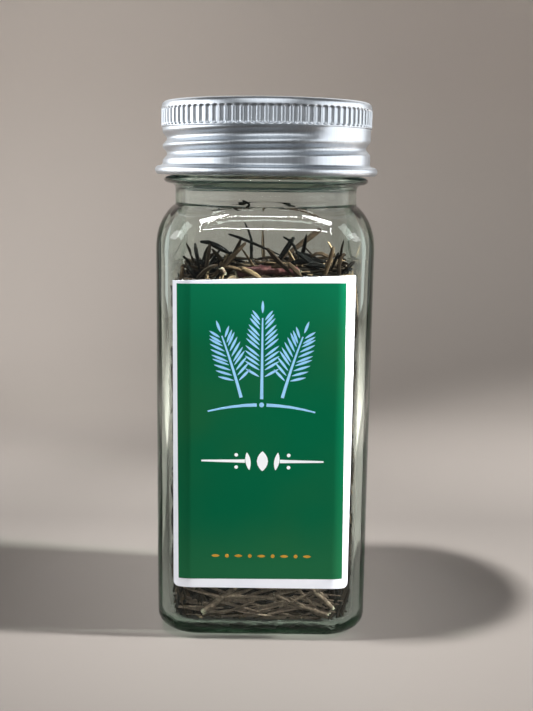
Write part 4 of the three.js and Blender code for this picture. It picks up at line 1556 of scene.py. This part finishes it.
def make_stem(name, length, from_r, to_r, pale_to):
    """A straight bit of stem from z = 0 to z = 1, with its radius in millimetres."""
    bm = bmesh.new()
    pale_of = bm.verts.layers.float.new("pale")
    rings = max(24, round(length * 4))
    chain = [bm.verts.new((0, 0, 0.012))]
    for i in range(rings + 1):
        t = i / rings
        end = min(1.0, 0.55 + 8 * min(t, 1 - t))
        chain.append(bm.verts.new(((from_r + (to_r - from_r) * t) * end, 0, t)))
    chain.append(bm.verts.new((0, 0, 0.99)))
    spin_chain(bm, chain, STEM_COLUMNS)
    for vert in bm.verts:
        angle, t = math.atan2(vert.co.y, vert.co.x), vert.co.z
        down = t * length
        near = round(down / SCAR_SPACING)
        turned = (angle - near * math.pi / 2) % math.pi
        turned = min(turned, math.pi - turned)
        scar = math.exp(-((down - near * SCAR_SPACING) ** 2) / 0.12 - turned**2 / 0.35)
        collar = math.exp(-((down - near * SCAR_SPACING) ** 2) / 0.08)
        ridge = noise.noise(Vector((math.cos(angle) * 1.6, math.sin(angle) * 1.6, down * 0.35)))
        grow = 1 + 0.32 * scar + 0.1 * collar + 0.14 * ridge
        vert.co.x *= grow
        vert.co.y *= grow
        broken = min(t, 1 - t) < 0.02
        if broken:
            vert.co.z += noise.noise(Vector((vert.co.x * 3, vert.co.y * 3, t))) * 0.5 / length
        vert[pale_of] = max(1 - smooth_step(min(t, 1 - t), 0.004, pale_to), 0.0)
    mesh = bpy.data.meshes.new(name)
    bm.to_mesh(mesh)
    bm.free()
    return mesh


def stem_material(name, shades):
    material, place = new_material(name)
    pale = place.attribute("pale")
    cloud = place.noise(480, 3, 0.6)
    bark = place.noise(2600, 3, 0.7)
    brown = (0.55 * cloud + 0.45 * bark).ramp(*zip((0.3, 0.5, 0.7), shades))
    wood = bark.ramp((0.3, (172, 160, 136)), (0.7, (214, 206, 186)))
    return surfaced(
        material,
        place,
        Base_Color=pale.mix(brown, wood),
        Roughness=0.62 + 0.2 * bark,
        Normal=(bark + 0.6 * cloud).bump(0.6, 0.00018),
    )


dried_stem = stem_material("dried_stem", ((50, 41, 38), (98, 81, 71), (150, 130, 114)))
red_stem = stem_material("red_stem", ((34, 19, 22), (66, 37, 39), (104, 70, 66)))

# %% [markdown]
# The foot also holds many thin twigs. They are narrow needles in the bark's colour, laid behind the front glass.

# %% Stems at the foot
STEM_Y = -18.6
FOOT_STEMS = (
    # node, start, bend, end, radii, how far the pale end reaches
    ("woody_stem_1", (-12.6, 4.6), (-8.0, 8.2), (-2.4, 13.4), (0.72, 0.5), 0.12),
    ("woody_stem_2", (14.8, 4.6), (8.4, 6.3), (2.6, 9.2), (0.62, 0.56), 0.03),
    ("woody_stem_3", (8.8, 12.2), (12.4, 9.2), (15.6, 5.8), (0.65, 0.52), 0.08),
)


def lay_stem(name, path, radii, pale_to, material):
    """A bit of stem in the jar, bent along its path."""
    mesh = make_stem(name, (path[2] - path[0]).length, *radii, pale_to)
    bm = bmesh.new()
    bm.verts.layers.float.new("pale")
    lay(bm, mesh, path, 1.0, Vector((0, -1, 0)))
    bmesh.ops.recalc_face_normals(bm, faces=bm.faces)
    piece = finish_piece(bm, name, material, 60)
    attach(piece, "jar_body")
    return piece


for node_name, start, bend, end, radii, pale_to in FOOT_STEMS:
    path = tuple(Vector((x, STEM_Y, z)) for x, z in (start, bend, end))
    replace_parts(lay_stem("stem_" + node_name[-1], path, radii, pale_to, dried_stem), node_name)

FOOT_TWIGS = 95
bm = herb_bmesh()
for _ in range(FOOT_TWIGS):
    run, rise = between(-15.5, 15.5), LOWEST_Z + between(0.4, 17)
    slope = chance.gauss(0, 0.3)
    reach, climb = between(3.5, 8.0) * math.cos(slope), between(3.5, 8.0) * math.sin(slope)
    ends = []
    for end in (-1, 1):
        height = max(rise + end * climb, LOWEST_Z + 0.2)
        inset = between(0.9, 1.7)
        ends.append(keep_inside(wall_point(0, run + end * reach, height, inset), 0.45))
    path = bend_between(*ends, between(-0.1, 0.3), between(-0.6, 0.6))
    back = Vector((0, -1, between(-0.9, 0.9)))
    lay(bm, needle, path, between(0.55, 0.95), back, 0.5)
add_to_heap(bm, "twigs_foot", dried_stem)

TOP_STEMS = (
    # name, start, bend, end, radii, how far the pale end reaches, material
    ("stem_top", (-5.8, -17.2, 77.4), (-1.6, -17.4, 79.3), (7.4, -16.6, 78.0), (0.95, 0.85), 0.03, red_stem),
    ("stem_chip", (-8.9, -18.2, 79.0), (-8.6, -18.3, 78.4), (-8.0, -18.2, 77.5), (0.5, 0.45), 0.3, dried_stem),
)
for piece_name, start, bend, end, radii, pale_to, material in TOP_STEMS:
    path = tuple(Vector(point) for point in (start, bend, end))
    lay_stem(piece_name, path, radii, pale_to, material)
